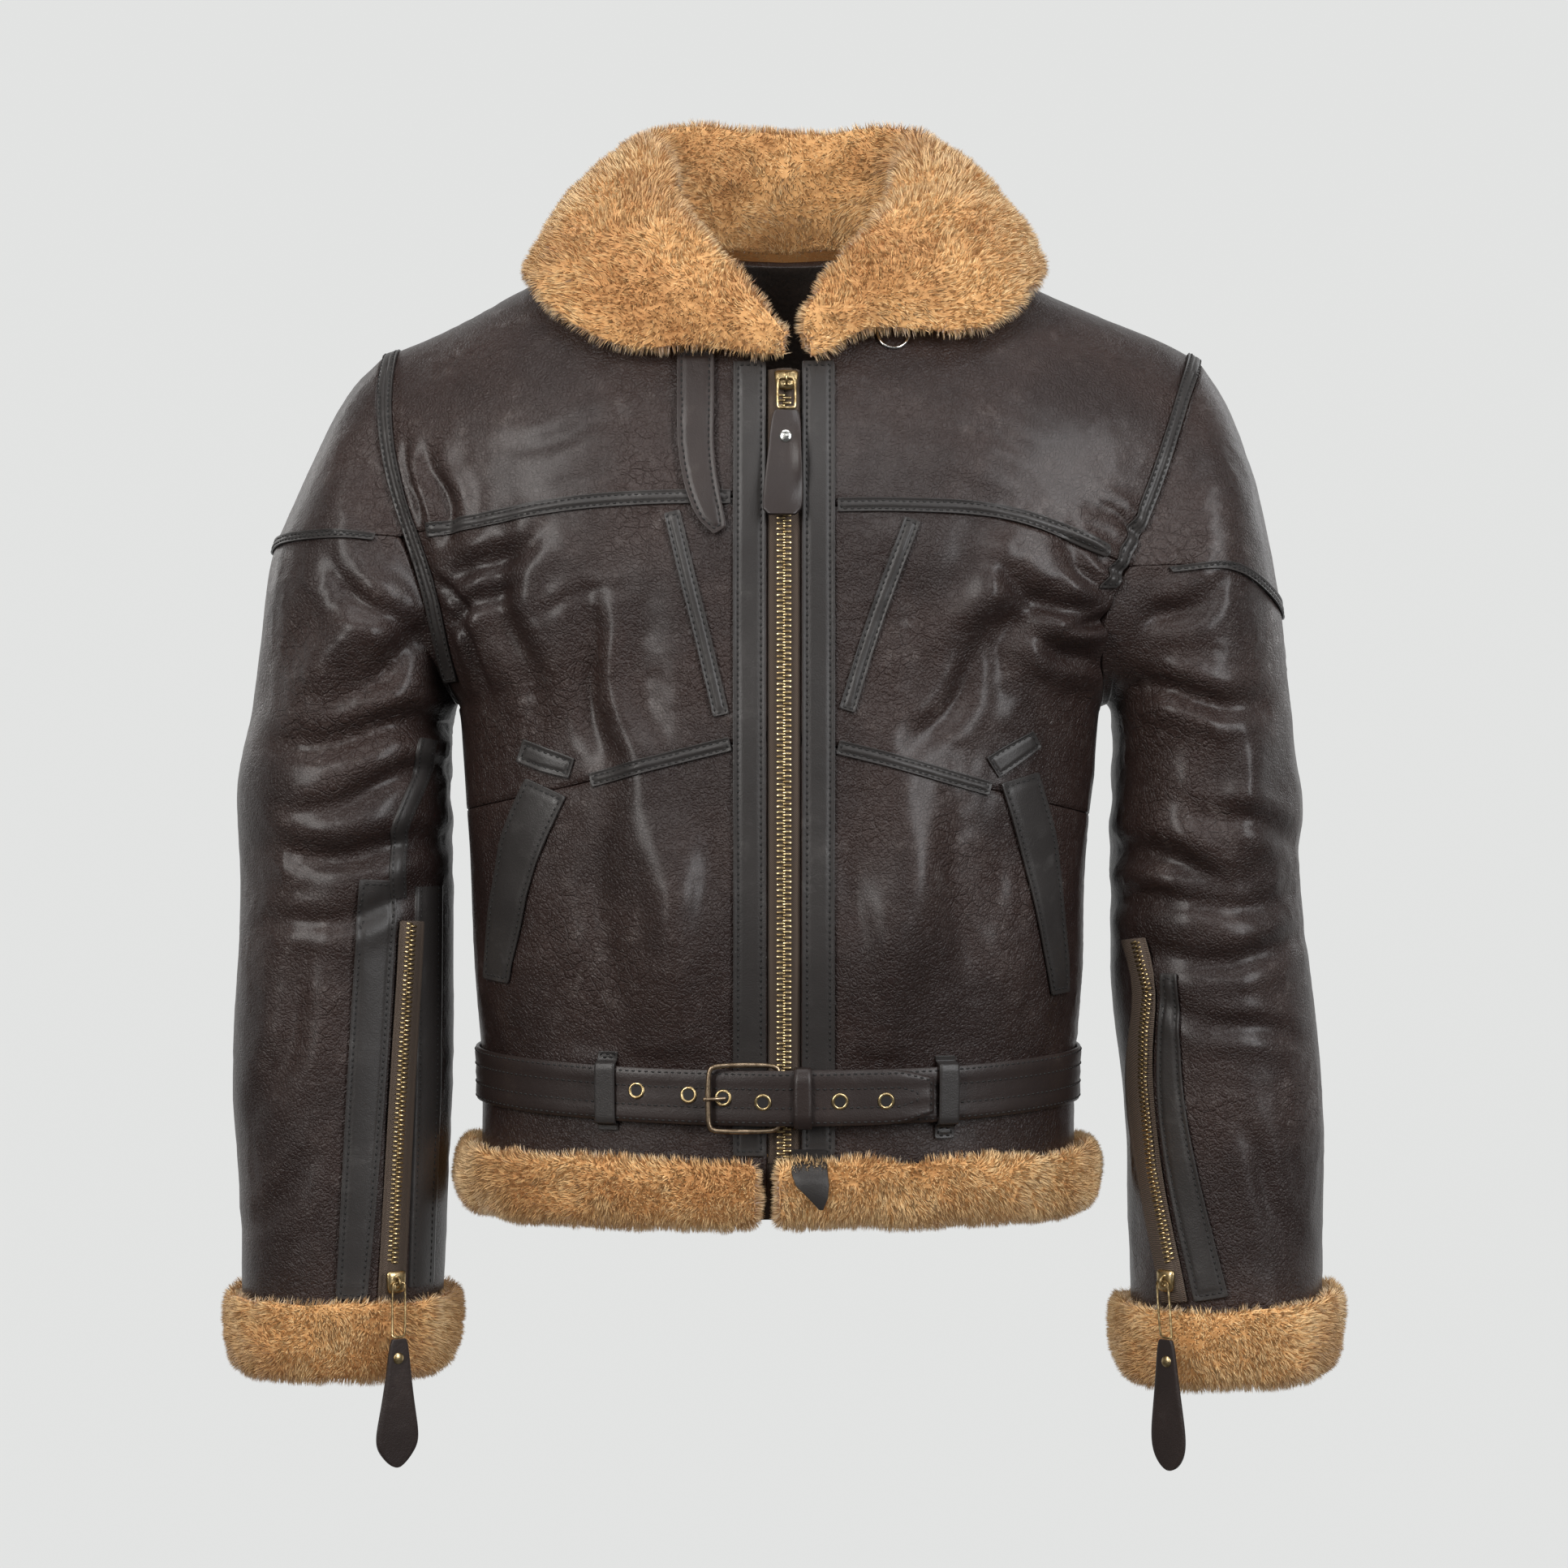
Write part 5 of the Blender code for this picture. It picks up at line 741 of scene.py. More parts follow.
def sewing_line(node, inset, way):
    """A closed line inside the outer edge of a strip."""
    mesh = merged(node)
    mesh.faces.ensure_lookup_table()
    middles = np.array([face.calc_center_median() for face in mesh.faces])
    outs = way(middles)
    outer = [face for face, out in zip(mesh.faces, outs) if face.normal.dot(Vector(out)) > 0.5]
    bmesh.ops.inset_region(mesh, faces=outer, thickness=inset, use_even_offset=True, use_boundary=True)
    kept = set(outer)
    edges = [edge for edge in mesh.edges if sum(face in kept for face in edge.link_faces) == 1]
    line = []
    if edges:
        following = {}
        for edge in edges:
            for vert in edge.verts:
                following.setdefault(vert, []).append(edge)
        vert, edge = edges[0].verts[0], edges[0]
        for _ in range(len(edges)):
            line.append(vert.co.copy())
            vert = edge.other_vert(vert)
            edge = next((other for other in following[vert] if other != edge), edge)
    mesh.free()
    return line


def every(line, pitch, closed=True):
    """Places a pitch apart along a line, with its direction there."""
    points = np.array([tuple(point) for point in (line + line[:1] if closed else line)])
    steps = np.linalg.norm(np.diff(points, axis=0), axis=1)
    lengths = np.concatenate([[0], np.cumsum(steps)])
    count = max(2, int(lengths[-1] / pitch))
    wanted = (np.arange(count) + 0.5) * lengths[-1] / count
    spots = np.column_stack([np.interp(wanted, lengths, points[:, axis]) for axis in range(3)])
    ahead = np.column_stack([np.interp(wanted + pitch * 0.3, lengths, points[:, axis]) for axis in range(3)])
    behind = np.column_stack([np.interp(wanted - pitch * 0.3, lengths, points[:, axis]) for axis in range(3)])
    return spots, ahead - behind


def repeated(name, shape, places, material, body):
    """One object of many copies of a small mesh, each moved by its own matrix."""
    vertices = np.array([(*vert.co, 1.0) for vert in shape.verts])
    polygons = [[vert.index for vert in face.verts] for face in shape.faces]
    shape.free()
    placed = np.concatenate([(vertices @ np.array(place).T)[:, :3] for place in places])
    starts = [copy * len(vertices) for copy in range(len(places))]
    faces = [[index + start for index in face] for start in starts for face in polygons]
    data = bpy.data.meshes.new(name)
    data.from_pydata(placed, [], faces)
    data.shade_smooth()
    data.set_sharp_from_angle(angle=FLAT_ENOUGH)
    data.materials.append(material)
    obj = bpy.data.objects.new(name, data)
    bpy.context.scene.collection.objects.link(obj)
    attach(obj, body)
    return obj


def frame_at(spot, along, out):
    """A matrix whose X runs along, and whose Z points out."""
    out = Vector(out).normalized()
    along = (Vector(along) - out * Vector(along).dot(out)).normalized()
    across = out.cross(along)
    return Matrix(((along.x, across.x, out.x, spot[0]), (along.y, across.y, out.y, spot[1]),
                   (along.z, across.z, out.z, spot[2]), (0, 0, 0, 1)))


def stitch_places(lines, tree):
    """A matrix for each stitch on the faces of the tree."""
    places = []
    for line, closed in lines:
        if len(line) < 2:
            continue
        for spot, along in zip(*every(line, STITCH_PITCH, closed)):
            near, normal = tree.find_nearest(Vector(spot))[:2]
            if near is not None and Vector(along).length > 1e-7:
                places.append(frame_at(near, along, normal))
    return places


def stitch_shape():
    shape = bmesh.new()
    bmesh.ops.create_icosphere(shape, subdivisions=1, radius=0.5)
    for vert in shape.verts:
        vert.co = (vert.co.x * STITCH_LENGTH, vert.co.y * STITCH_THICK, vert.co.z * STITCH_THICK)
    return shape


def sew(name, lines, target):
    """One object of all stitches along the lines, laid on the target pieces."""
    places = stitch_places(lines, joined_tree(target))
    return repeated(name, stitch_shape(), places, THREAD, "jacket")


def distances(points, line, pitch=0.0008):
    """How far each point is from a closed line."""
    spots = every(line, pitch)[0]
    tree = KDTree(len(spots))
    for index, spot in enumerate(spots):
        tree.insert(spot, index)
    tree.balance()
    return np.array([tree.find(point)[2] for point in points])


def press_in(obj, node, line, way):
    """Sinks the sewing line, and the middle of a strip that has two ridges."""
    points = read_points(obj)
    outs = way(points)
    outer = (read_normals(obj) * outs).sum(axis=1) > 0.25
    depth = GROOVE_DEPTH * np.exp(-((distances(points, line) / GROOVE_WIDTH) ** 2))
    if node.startswith("armhole"):
        rim = distances(points, sewing_line(node, 0.0001, way))
        depth = depth + RIDGE_PAIR_DEPTH * smoothstep(0.0040, 0.0062, rim)
    write_points(obj, points - outs * np.where(outer, depth, 0)[:, None])


WIDE = 0.015  # strips wider than this have their stitches further in
strips = {}
for owner, members in STRIP_NODES.items():
    way = body_way if owner == "body" else lambda middles, sign=SIDES[owner]: sleeve_way(middles, sign)
    move = body_fold if owner == "body" else lambda spots, owner=owner: sleeve_fold(spots, owner)
    lines = []
    for node, flat in members.items():
        strip = finer(node + "_strip", merged(node), 3, crease=0.75)
        line = sewing_line(node, PLACKET_INSET if flat[0] > WIDE else STITCH_INSET, way)
        if len(line) > 3:
            press_in(strip, node, line, way)
            spots = np.array([tuple(point) for point in line])
            lines.append(([Vector(point) for point in spots + move(spots)], True))
        points = read_points(strip)
        write_points(strip, points + move(points))
        finish_piece(strip, TAB_LEATHER if node == "throat_strap" else STRIP, "jacket", node)
        strips[node] = strip
    sew(f"stitches_{owner}", lines, [strips[node] for node in members])


# Two more strips on the right sleeve: a facing inside its zip, and the seam strip above that. Each has the
# (x, z) of its middle and its width there; the section has the place across, from -1 to 1, and the rise.
LAID_STITCHED = 0.62
LAID_EDGE = ((-1.0, -0.25), (-0.94, 0.55), (-0.80, 0.95), (-LAID_STITCHED, 0.70), (-0.40, 1.0), (0.0, 1.0),
             (0.40, 1.0), (LAID_STITCHED, 0.70), (0.80, 0.95), (0.94, 0.55), (1.0, -0.25))
LAID_RISE, LAID_STEP = 0.0020, 0.004
LAID_STRIPS = {
    "cuff_facing_in_r": ((-0.2276, -0.4230, 0.0150), (-0.2286, -0.5500, 0.0150), (-0.2330, -0.6790, 0.0140)),
    "sleeve_seam_strip_r": ((-0.2270, -0.3300, 0.0100), (-0.2320, -0.3560, 0.0100),
                            (-0.2440, -0.3880, 0.0100), (-0.2450, -0.4300, 0.0100)),
}


def laid_strip(name, path, tree):
    """A ribbon of leather on the front of a piece, raised, with a groove along each edge."""
    rows = []
    for (x0, z0, w0), (x1, z1, w1) in zip(path, path[1:]):
        span = math.hypot(x1 - x0, z1 - z0)
        side = Vector((z1 - z0, x0 - x1)) / span
        count = max(2, int(span / LAID_STEP))
        for i in range(count + (x1 == path[-1][0])):
            share = i / count
            half = (w0 + (w1 - w0) * share) / 2
            middle = Vector((x0 + (x1 - x0) * share, z0 + (z1 - z0) * share))
            row = []
            for across, rise in LAID_EDGE:
                spot = middle + side * across * half
                hit, normal = tree.ray_cast(Vector((spot.x, -1.0, spot.y)), Vector((0, 1, 0)))[:2]
                row.append(hit and hit - normal * math.copysign(1, normal.y) * rise * LAID_RISE)
            rows.append(row)
    rows = [row for row in rows if all(point is not None for point in row)]
    mesh = bmesh.new()
    grid = [[mesh.verts.new(point) for point in row] for row in rows]
    for lower, upper in zip(grid, grid[1:]):
        for i in range(len(LAID_EDGE) - 1):
            mesh.faces.new((lower[i], lower[i + 1], upper[i + 1], upper[i]))
    bmesh.ops.recalc_face_normals(mesh, faces=mesh.faces)
    data = bpy.data.meshes.new(name)
    mesh.to_mesh(data)
    mesh.free()
    data.shade_smooth()
    data.materials.append(STRIP)
    obj = bpy.data.objects.new(name, data)
    bpy.context.scene.collection.objects.link(obj)
    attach(obj, "jacket")
    middle = len(LAID_EDGE) // 2
    for index, (across, rise) in enumerate(LAID_EDGE):
        if abs(across) == LAID_STITCHED:
            sew(f"{name}_stitches_{index}", [([row[index] for row in rows], False)], [obj])


for name, path in LAID_STRIPS.items():
    laid_strip(name, path, joined_tree([sleeve_shells["sleeve_r"][0]]))


# The belt: a strap of leather with three padded channels between four rows of stitches, brass eyelets
# pressed through it, a cast bronze frame buckle with its prong, and a leather keeper round both layers. It
# dips to the front.
BELT_HALF = 0.017
BELT_HEIGHT, BELT_DIP, BELT_FRONT = -0.5440, 0.0068, 0.1245
CHANNEL_RISE = 0.0012
BELT_LINES = (0.0022, 0.0112)  # the insets of its two closed lines of stitches
EYELETS = (
    (-0.0910, -0.5470), (-0.0587, -0.5490), (-0.0373, -0.5505), (-0.0129, -0.5530), (0.0343, -0.5525),
    (0.0627, -0.5525),
)
EYELET_RADIUS, EYELET_WIRE, HOLE_THICK = 0.0043, 0.0011, 0.0012


def belt_middle(points):
    """The height of the belt's middle at each point."""
    return BELT_HEIGHT - BELT_DIP * np.clip(-points[:, 1] / BELT_FRONT, 0, 1) ** 2.4


def metal(name, dark, light, roughness):
    """Plated metal, darker and duller in random stains."""
    material, tree, shader = new_material(name)
    place = tree.nodes.new("ShaderNodeTexCoord").outputs["Object"]
    blotch = add_noise(tree, place, 260.0, detail=5.0, roughness=0.6).outputs["Fac"]
    stain = add_range(tree, blotch, 0.36, 0.62)
    tree.links.new(mix_colours(tree, stain, dark, light), shader.inputs["Base Color"])
    dull = add_range(tree, stain, 0.0, 1.0, roughness + 0.14, roughness)
    tree.links.new(dull, shader.inputs["Roughness"])
    shader.inputs["Metallic"].default_value = 1.0
    pitted = add_noise(tree, place, 900.0).outputs["Fac"]
    tree.links.new(add_bump(tree, pitted, 0.00004), shader.inputs["Normal"])
    return material


BRASS = metal("antique brass", (0.200, 0.140, 0.065), (0.560, 0.430, 0.230), 0.30)
BRONZE = metal("dark bronze", (0.130, 0.092, 0.060), (0.330, 0.250, 0.170), 0.34)
NICKEL = metal("nickel", (0.420, 0.420, 0.400), (0.740, 0.740, 0.720), 0.16)


def belt_way(points):
    """Outward from the body, level."""
    way = body_way(points)
    way[:, 2] = 0
    return way / np.linalg.norm(way, axis=1)[:, None]


belt = finer("belt_strap", merged("belt"), 2, crease=0.8)
points = read_points(belt)
across = (points[:, 2] - belt_middle(points)) / BELT_HALF
outward = (read_normals(belt) * belt_way(points)).sum(axis=1) > 0.3
channel = np.abs(np.cos(across * math.pi * 1.5)) ** 0.6
rise = np.where(outward, CHANNEL_RISE * (channel - 0.5), 0)
write_points(belt, points + belt_way(points) * rise[:, None])
finish_piece(belt, TAB_LEATHER, "jacket", "belt")
belt_lines = [(sewing_line("belt", inset, belt_way), True) for inset in BELT_LINES]
keeper = finer("belt_keeper_strap", merged("belt_keeper"), 2, crease=0.7)
finish_piece(keeper, TAB_LEATHER, "jacket", "belt_keeper")
belt_stitches = sew("stitches_belt", belt_lines, [belt])


def ring_shape(radius, wire, around, sides):
    """A round wire ring about Z."""
    shape = bmesh.new()
    bmesh.ops.create_circle(shape, segments=sides, radius=wire)
    bmesh.ops.rotate(shape, verts=shape.verts, matrix=Matrix.Rotation(math.pi / 2, 3, "X"))
    bmesh.ops.translate(shape, verts=shape.verts, vec=(radius, 0, 0))
    bmesh.ops.spin(shape, geom=shape.verts[:] + shape.edges[:], cent=(0, 0, 0), axis=(0, 0, 1),
                   angle=2 * math.pi, steps=around, use_merge=True)
    bmesh.ops.remove_doubles(shape, verts=shape.verts, dist=1e-6)
    bmesh.ops.recalc_face_normals(shape, faces=shape.faces)
    shape.verts.index_update()
    return shape


def disc_shape(radius, height, around=20):
    """A flat round disc about Z."""
    shape = bmesh.new()
    bmesh.ops.create_cone(
        shape, cap_ends=True, segments=around, radius1=radius, radius2=radius, depth=height,
    )
    shape.verts.index_update()
    return shape


def front_hit(tree, x, z):
    """The point and normal that the front view shows at a place."""
    hit, normal = tree.ray_cast(Vector((x, -1.0, z)), Vector((0, 1, 0)))[:2]
    return hit, (normal if normal.y < 0 else -normal)


belt_tree = joined_tree([belt])
eyelet_places = []
for x, z in EYELETS:
    hit, normal = front_hit(belt_tree, x, z)
    eyelet_places.append(frame_at(hit, (1, 0, 0), normal))
eyelet_ring = ring_shape(EYELET_RADIUS, EYELET_WIRE, 28, 8)
repeated("belt_eyelets", eyelet_ring, eyelet_places, BRASS, "jacket")


def hole_material():
    """The shade seen through an eyelet, painted as a near-black disc."""
    material, tree, shader = new_material("eyelet hole")
    place = tree.nodes.new("ShaderNodeTexCoord").outputs["Object"]
    speck = add_noise(tree, place, 700.0).outputs["Fac"]
    tone = mix_colours(tree, speck, (0.004, 0.003, 0.003), (0.012, 0.009, 0.008))
    tree.links.new(tone, shader.inputs["Base Color"])
    shader.inputs["Roughness"].default_value = 0.8
    return material


eyelet_hole = disc_shape(EYELET_RADIUS, HOLE_THICK)
repeated("belt_holes", eyelet_hole, eyelet_places, hole_material(), "jacket")
buckle = finer("buckle_frame", merged("buckle", 10), 2, crease=0.0)
finish_piece(buckle, BRONZE, "jacket", "buckle")
prong = finer("buckle_tongue", merged("buckle_prong", 10), 2, crease=0.0)
finish_piece(prong, BRONZE, "jacket", "buckle_prong")


# Zips: brass teeth clamped to the edges of woven tapes, which mesh along the middle, with a slider at the top
# of the front and at the foot of each cuff. The tapes are sewn in behind the leather. A chain has the (x, z)
# of its middle, and a tooth its width across, height, depth and pitch.
FRONT_CHAIN = ((0.0, -0.1170), (0.0, -0.5900))
CUFF_CHAIN = {
    "r": ((-0.2365, -0.446), (-0.2442, -0.579), (-0.2482, -0.662)),
    "l": ((0.2240, -0.458), (0.2310, -0.490), (0.2290, -0.515), (0.2290, -0.548), (0.2345, -0.605),
          (0.2452, -0.662)),
}
CHAIN_STEP = 0.006
TOOTH = {"front": (0.0054, 0.0017, 0.0020, 0.0017), "cuff": (0.0046, 0.0015, 0.0016, 0.0015)}
TOOTH_BITE = 0.0008  # how far a tooth reaches past the middle


def tape_material():
    material, tree, shader = new_material("zip tape")
    place = tree.nodes.new("ShaderNodeTexCoord").outputs["Object"]
    weave = tree.nodes.new("ShaderNodeTexWave")
    weave.wave_type = "BANDS"
    weave.bands_direction = "DIAGONAL"
    weave.inputs["Scale"].default_value = 520.0
    weave.inputs["Distortion"].default_value = 1.5
    tree.links.new(place, weave.inputs["Vector"])
    tone = mix_colours(tree, weave.outputs["Fac"], (0.030, 0.020, 0.015), (0.105, 0.072, 0.050))
    tree.links.new(tone, shader.inputs["Base Color"])
    shader.inputs["Roughness"].default_value = 0.8
    tree.links.new(add_bump(tree, weave.outputs["Fac"], 0.0003), shader.inputs["Normal"])
    return material


TAPE = tape_material()


def tooth_shape(kind):
    """A bar that narrows to its head, with softened edges."""
    width, height, depth, pitch = TOOTH[kind]
    shape = bmesh.new()
    bmesh.ops.create_cube(shape, size=1.0)
    for vert in shape.verts:
        head = 0.8 if vert.co.y > 0 else 1.0
        vert.co = (vert.co.x * height * head, vert.co.y * width, vert.co.z * depth)
    bmesh.ops.bevel(
        shape, geom=shape.edges[:], offset=0.0003, segments=1, profile=0.5, affect="EDGES", material=-1,
    )
    shape.verts.index_update()
    return shape


def chain_places(path, tree, kind, own_way):
    """Teeth from alternate sides, one every pitch along the path."""
    width, height, depth, pitch = TOOTH[kind]
    line = []
    for (x0, z0), (x1, z1) in zip(path, path[1:]):
        steps = max(2, int(math.hypot(x1 - x0, z1 - z0) / CHAIN_STEP))
        for i in range(steps):
            x, z = x0 + (x1 - x0) * i / steps, z0 + (z1 - z0) * i / steps
            line.append(front_hit(tree, x, z)[0])
    line.append(front_hit(tree, *path[-1])[0])
    places = []
    for index, (spot, along) in enumerate(zip(*every(line, pitch, closed=False))):
        normal = Vector(own_way(spot))
        way = 1 if index % 2 else -1
        matrix = frame_at(spot, along, normal)
        side = matrix.to_3x3() @ Vector((0, 1, 0))
        places.append(frame_at(Vector(spot) + side * way * (width / 2 - TOOTH_BITE), along * -way, normal))
    return places


def zip_chain(node, kind, path, own_way):
    """The tape of a zip with its teeth."""
    tape = finer(node + "_tape", merged(node), 1)
    tree = joined_tree([tape])
    places = chain_places(path, tree, kind, own_way)
    finish_piece(tape, TAPE, "jacket", node)
    teeth = repeated(node + "_teeth", tooth_shape(kind), places, BRASS, "jacket")
    return tape


front_tape = zip_chain("front_zip", "front", FRONT_CHAIN, lambda spot: (0.0, -1.0, 0.0))
for side, sign in SIDES.items():
    zip_chain(f"cuff_zip_{side}", "cuff", CUFF_CHAIN[side],
              lambda spot, sign=sign: sleeve_way(np.array([spot]), sign)[0])

SLIDERS = ("front_slider", "cuff_slider_r", "cuff_slider_l")
LINKS = ("front_link", "cuff_link_r", "cuff_link_l")
for node in (*SLIDERS, *LINKS):
    body = node.replace("link", "puller") if node in LINKS else "jacket"
    metalwork = finer(node + "_metal", merged(node, 10), 1, crease=0.7)
    finish_piece(metalwork, BRASS, body, node)


# The foot of the front: the zip's brass end box, the left placket's leather corner that laps over the fur,
# and the guard, a strip of hide with its pile out, sewn behind the gap in the hem, its pile painted dark as
# the shade in that gap. Each has rows of left, right, height and depth from the piece that it lies on.
BOX_THICK, GUARD_THICK, CORNER_THICK = 0.0034, 0.0022, 0.0020
BOX = ((-0.0052, 0.0052, -0.5905, -0.0024), (-0.0052, 0.0052, -0.6005, -0.0024))
GUARD = ((-0.019, 0.012, -0.588, 0.0035), (-0.018, 0.011, -0.605, 0.0035), (-0.015, 0.009, -0.627, 0.0045))
CORNER_TOP = ((0.0045, 0.0262, -0.5830, -0.0010),)
CORNER = (
    (0.0045, 0.0268, -0.5960, -0.0050), (0.0070, 0.0276, -0.6030, -0.0078),
    (0.0150, 0.0268, -0.6110, -0.0080), (0.0215, 0.0240, -0.6180, -0.0076),
)


def flat_piece(name, rows, thick, material):
    """A small piece of even thickness, four-sided between its rows."""
    mesh = bmesh.new()
    corners = [[mesh.verts.new((x, y, z)) for x in (left, right)] for left, right, z, y in rows]
    for upper, lower in zip(corners, corners[1:]):
        mesh.faces.new((upper[0], upper[1], lower[1], lower[0]))
    made = bmesh.ops.extrude_face_region(mesh, geom=mesh.faces[:])["geom"]
    behind = [part for part in made if isinstance(part, bmesh.types.BMVert)]
    bmesh.ops.translate(mesh, verts=behind, vec=(0, thick, 0))
    bmesh.ops.recalc_face_normals(mesh, faces=mesh.faces)
    rims = [edge for edge in mesh.edges if edge.calc_face_angle(0.0) > SHARP]
    bmesh.ops.bevel(
        mesh, geom=rims, offset=thick * 0.25, segments=2, profile=0.5, affect="EDGES", material=-1,
    )
    data = bpy.data.meshes.new(name)
    mesh.to_mesh(data)
    mesh.free()
    data.shade_smooth()
    data.set_sharp_from_angle(angle=FLAT_ENOUGH)
    data.materials.append(material)
    obj = bpy.data.objects.new(name, data)
    bpy.context.scene.collection.objects.link(obj)
    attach(obj, "jacket")
    return obj


def set_back(rows, depth):
    """Rows with their depth counted from the given one."""
    return [(left, right, z, depth + y) for left, right, z, y in rows]


tape_front = front_hit(joined_tree([front_tape]), 0.0, -0.590)[0].y
placket_front = front_hit(joined_tree([strips["placket_l"]]), 0.015, -0.580)[0].y
fur_front = front_hit(joined_tree([hem_core]), 0.022, -0.610)[0].y
flat_piece("zip_end_box", set_back(BOX, tape_front), BOX_THICK, BRASS)
# the guard's pile is painted dark as the shade in the hem's gap
guard = flat_piece("zip_guard", set_back(GUARD, tape_front), GUARD_THICK, SHADE_PAINTED_PILE)
corner_rows = set_back(CORNER_TOP, placket_front) + set_back(CORNER, fur_front)
corner = flat_piece("placket_corner", corner_rows, CORNER_THICK, STRIP)


# Puller tabs: each a drop of leather, folded over its wire link and riveted through both layers. The front
# one's edge on the wearer's left curls forwards, then back. A rivet has its body, (x, z), radius, material
# and slot.
TAB_FLAT, FRONT_TAB_FLAT = (0.0255, 0.082), (0.024, 0.066)
RIVETS = {
    "front_pull": ("front_puller", 0.0010, -0.1442, 0.0042, NICKEL, "nickel"),
    "cuff_pull_r": ("cuff_puller_r", -0.2409, -0.7170, 0.0037, BRASS, "brass"),
    "cuff_pull_l": ("cuff_puller_l", 0.2389, -0.7190, 0.0037, BRASS, "brass"),
}
RIVET_FLATNESS = 0.42
CURL_ACROSS, CURL_TOP, CURL_LENGTH, CURL_DEPTH = (0.002, 0.013), -0.142, 0.056, 0.0026


def rivet_shape(radius):
    """A low domed head."""
    shape = bmesh.new()
    bmesh.ops.create_uvsphere(shape, u_segments=20, v_segments=10, radius=radius)
    bmesh.ops.scale(shape, verts=shape.verts, vec=(1, 1, RIVET_FLATNESS))
    shape.verts.index_update()
    return shape


for node, (body, x, z, radius, material, slot) in RIVETS.items():
    tab = finer(node + "_tab", merged(node), 3, crease=0.8)
    flat = TAB_FLAT
    if node == "front_pull":
        flat = FRONT_TAB_FLAT
        points = read_points(tab)
        turn = (CURL_TOP - points[:, 2]) / CURL_LENGTH * 2 * math.pi
        curl = smoothstep(*CURL_ACROSS, points[:, 0]) * np.sin(turn)
        write_points(tab, points - np.outer(curl, (0, CURL_DEPTH, 0)))
    finish_piece(tab, TAB_LEATHER, body, node)
    hit, normal = front_hit(joined_tree([tab]), x, z)
    repeated(node + "_rivet", rivet_shape(radius), [frame_at(hit, (1, 0, 0), normal)], material, body)


# The D-ring: bent nickel wire under the collar's edge, held by a short leather loop sewn to the hide. The
# throat strap of the other side would fasten to it.
ring = finer("d_ring_wire", merged("d_ring", 10), 2, crease=0.0)
finish_piece(ring, NICKEL, "jacket", "d_ring")


# The stage: a round room of paper, pale behind the jacket and dim in front of it, with soft lamps before and
# behind, and a level camera in front of the jacket's middle.
FLOOR_Z, ROOM_RADIUS, ROOM_ROUND, ROOM_TOP = -1.9, 7.0, 1.6, 6.0
PAPER_FRONT, PAPER_BACK = (0.085, 0.086, 0.085), (0.765, 0.772, 0.765)
CAMERA_Y, CAMERA_Z, LENS = -2.2, -0.358, 77.35
# Lamps: name, place, aim, width and height, power and colour
LAMPS = (
    ("key", (-1.5, -2.0, 0.55), (0, 0, -0.34), 0.7, 1.9, 60, (1.0, 0.985, 0.96)),
    ("fill", (1.6, -1.8, 0.45), (0, 0, -0.36), 0.7, 1.9, 54, (0.97, 0.985, 1.0)),
    ("front", (0.2, -3.0, 1.5), (0, 0, -0.3), 1.0, 0.6, 12, (1.0, 1.0, 1.0)),
    ("top", (0.0, -0.5, 1.7), (0, 0, -0.2), 1.8, 0.7, 20, (1.0, 1.0, 1.0)),
    ("back_left", (-1.8, 1.9, 0.8), (0, 0, -0.3), 0.7, 1.6, 8, (1.0, 0.99, 0.97)),
    ("back_right", (1.8, 1.9, 0.8), (0, 0, -0.3), 0.7, 1.6, 8, (0.97, 0.985, 1.0)),
)


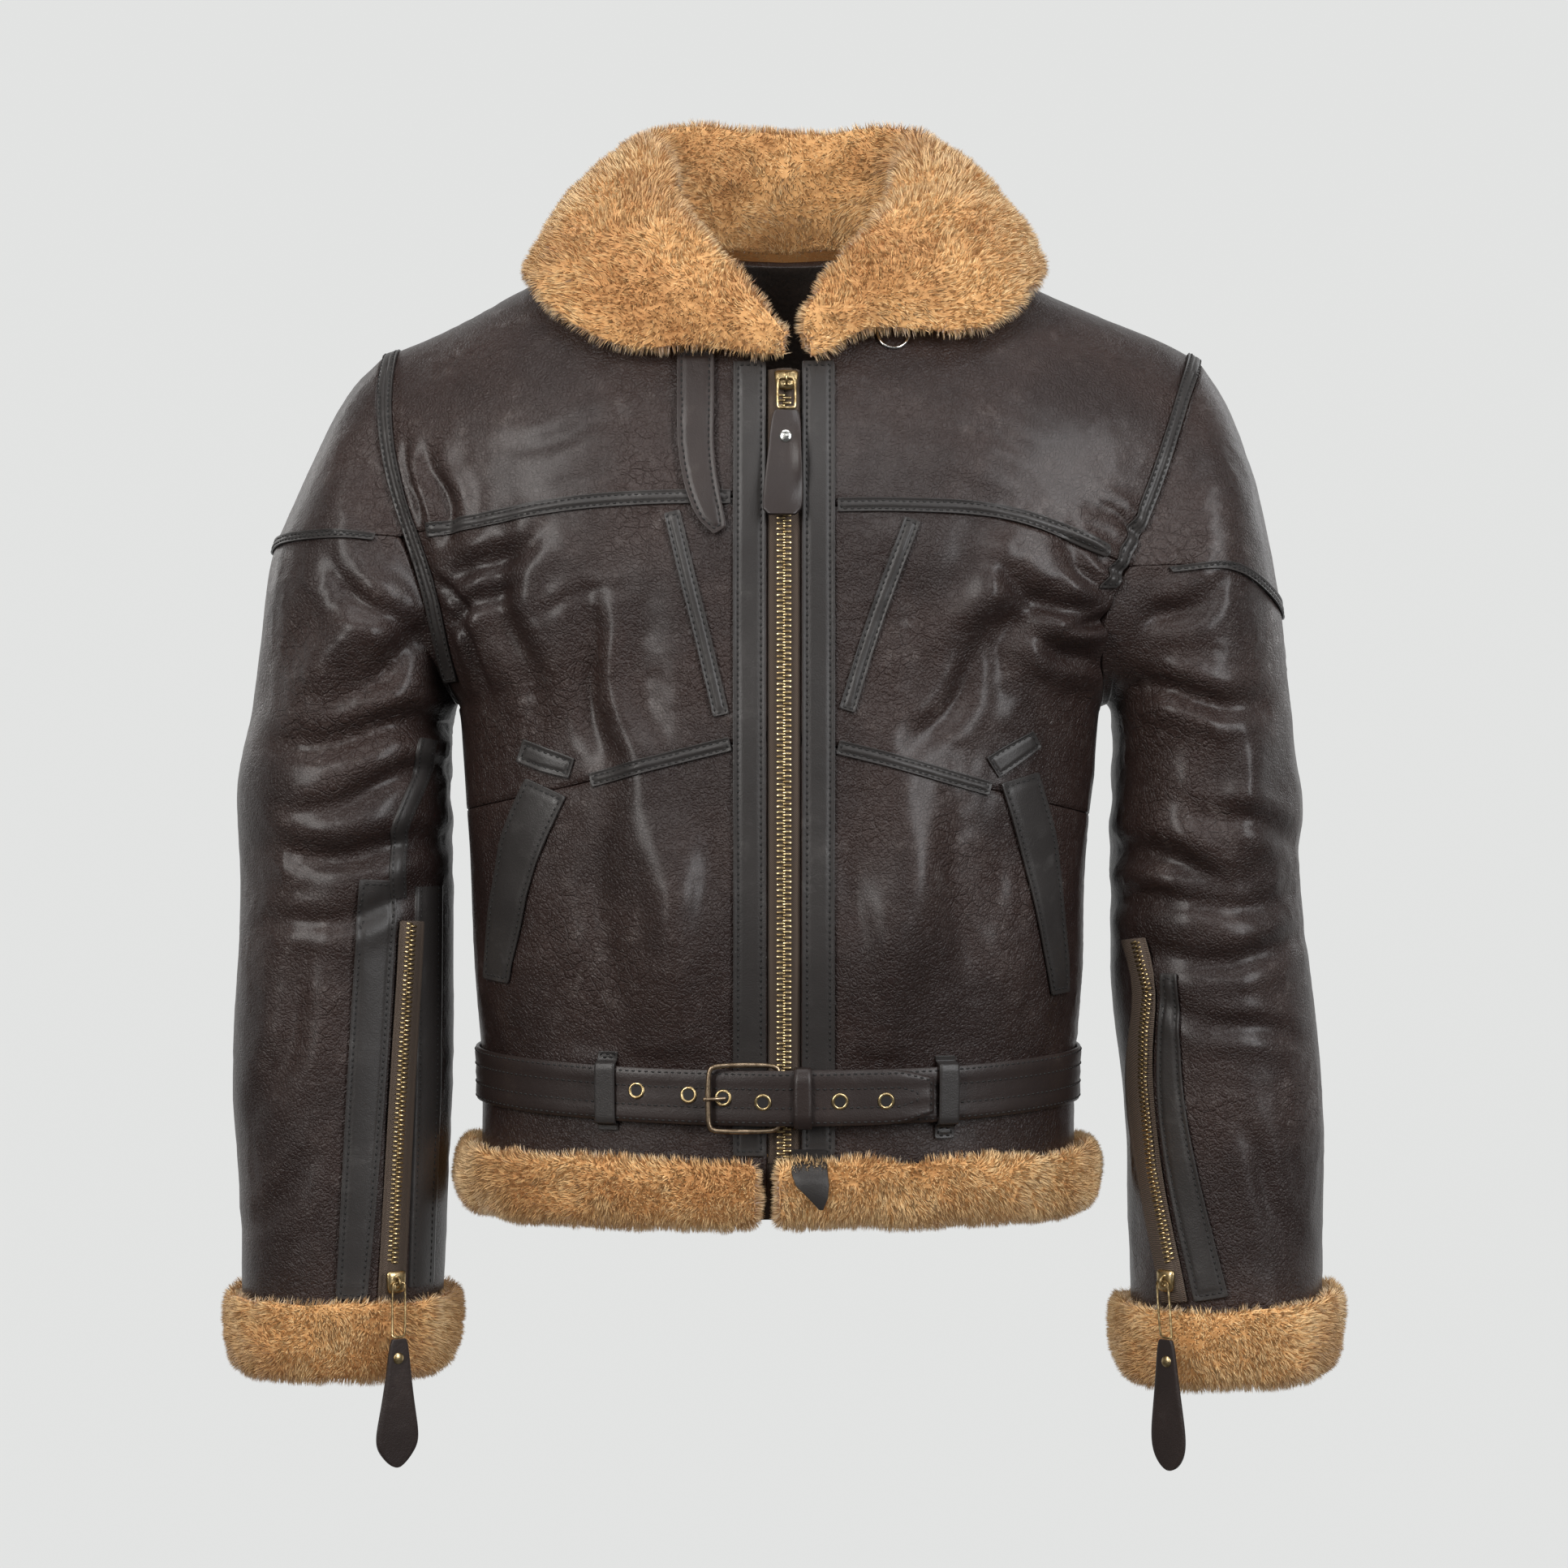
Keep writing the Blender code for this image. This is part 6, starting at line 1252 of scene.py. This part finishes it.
def build_room():
    """A floor that turns up into a round wall."""
    shape = bmesh.new()
    profile = [(0.0, FLOOR_Z)]
    for i in range(11):
        turn = math.pi / 2 * i / 10
        across = ROOM_RADIUS - ROOM_ROUND * (1 - math.sin(turn))
        profile.append((across, FLOOR_Z + ROOM_ROUND * (1 - math.cos(turn))))
    profile.append((ROOM_RADIUS, ROOM_TOP))
    start = [shape.verts.new((x, 0, z)) for x, z in profile]
    edges = [shape.edges.new(pair) for pair in zip(start, start[1:])]
    bmesh.ops.spin(shape, geom=start + edges, cent=(0, 0, 0), axis=(0, 0, 1), angle=2 * math.pi, steps=64,
                   use_merge=True)
    bmesh.ops.remove_doubles(shape, verts=shape.verts, dist=1e-5)
    bmesh.ops.recalc_face_normals(shape, faces=shape.faces)
    data = bpy.data.meshes.new("studio_room")
    shape.to_mesh(data)
    shape.free()
    data.shade_smooth()
    room = bpy.data.objects.new("studio_room", data)
    bpy.context.scene.collection.objects.link(room)
    material, tree, shader = new_material("pale paper")
    place = tree.nodes.new("ShaderNodeTexCoord").outputs["Object"]
    split = tree.nodes.new("ShaderNodeSeparateXYZ")
    tree.links.new(place, split.inputs[0])
    behind = add_range(tree, split.outputs["Y"], -0.5, 3.0)
    tone = mix_colours(tree, behind, PAPER_FRONT, PAPER_BACK)
    tree.links.new(tone, shader.inputs["Emission Color"])
    shader.inputs["Emission Strength"].default_value = 0.98
    shader.inputs["Base Color"].default_value = (0.03, 0.03, 0.03, 1)
    shader.inputs["Roughness"].default_value = 0.9
    shader.inputs["Specular IOR Level"].default_value = 0.0
    data.materials.append(material)


build_room()
for name, place, aim, width, height, power, colour in LAMPS:
    lamp = bpy.data.lights.new(name + "_lamp", "AREA")
    lamp.shape = "RECTANGLE"
    lamp.size = width
    lamp.size_y = height
    lamp.energy = power
    lamp.color = colour
    holder = bpy.data.objects.new(name + "_lamp", lamp)
    holder.location = place
    holder.rotation_euler = (Vector(aim) - Vector(place)).to_track_quat("-Z", "Y").to_euler()
    bpy.context.scene.collection.objects.link(holder)

world = bpy.data.worlds.new("pale room")
world.use_nodes = True
world.node_tree.nodes["Background"].inputs["Color"].default_value = (0.80, 0.80, 0.80, 1)
world.node_tree.nodes["Background"].inputs["Strength"].default_value = 0.10
bpy.context.scene.world = world
bpy.context.scene.view_settings.view_transform = "Standard"

camera_data = bpy.data.cameras.new("front_camera")
camera_data.lens = LENS
camera = bpy.data.objects.new("front_camera", camera_data)
camera.location = (0, CAMERA_Y, CAMERA_Z)
camera.rotation_euler = (math.pi / 2, 0, 0)
bpy.context.scene.collection.objects.link(camera)
bpy.context.scene.camera = camera
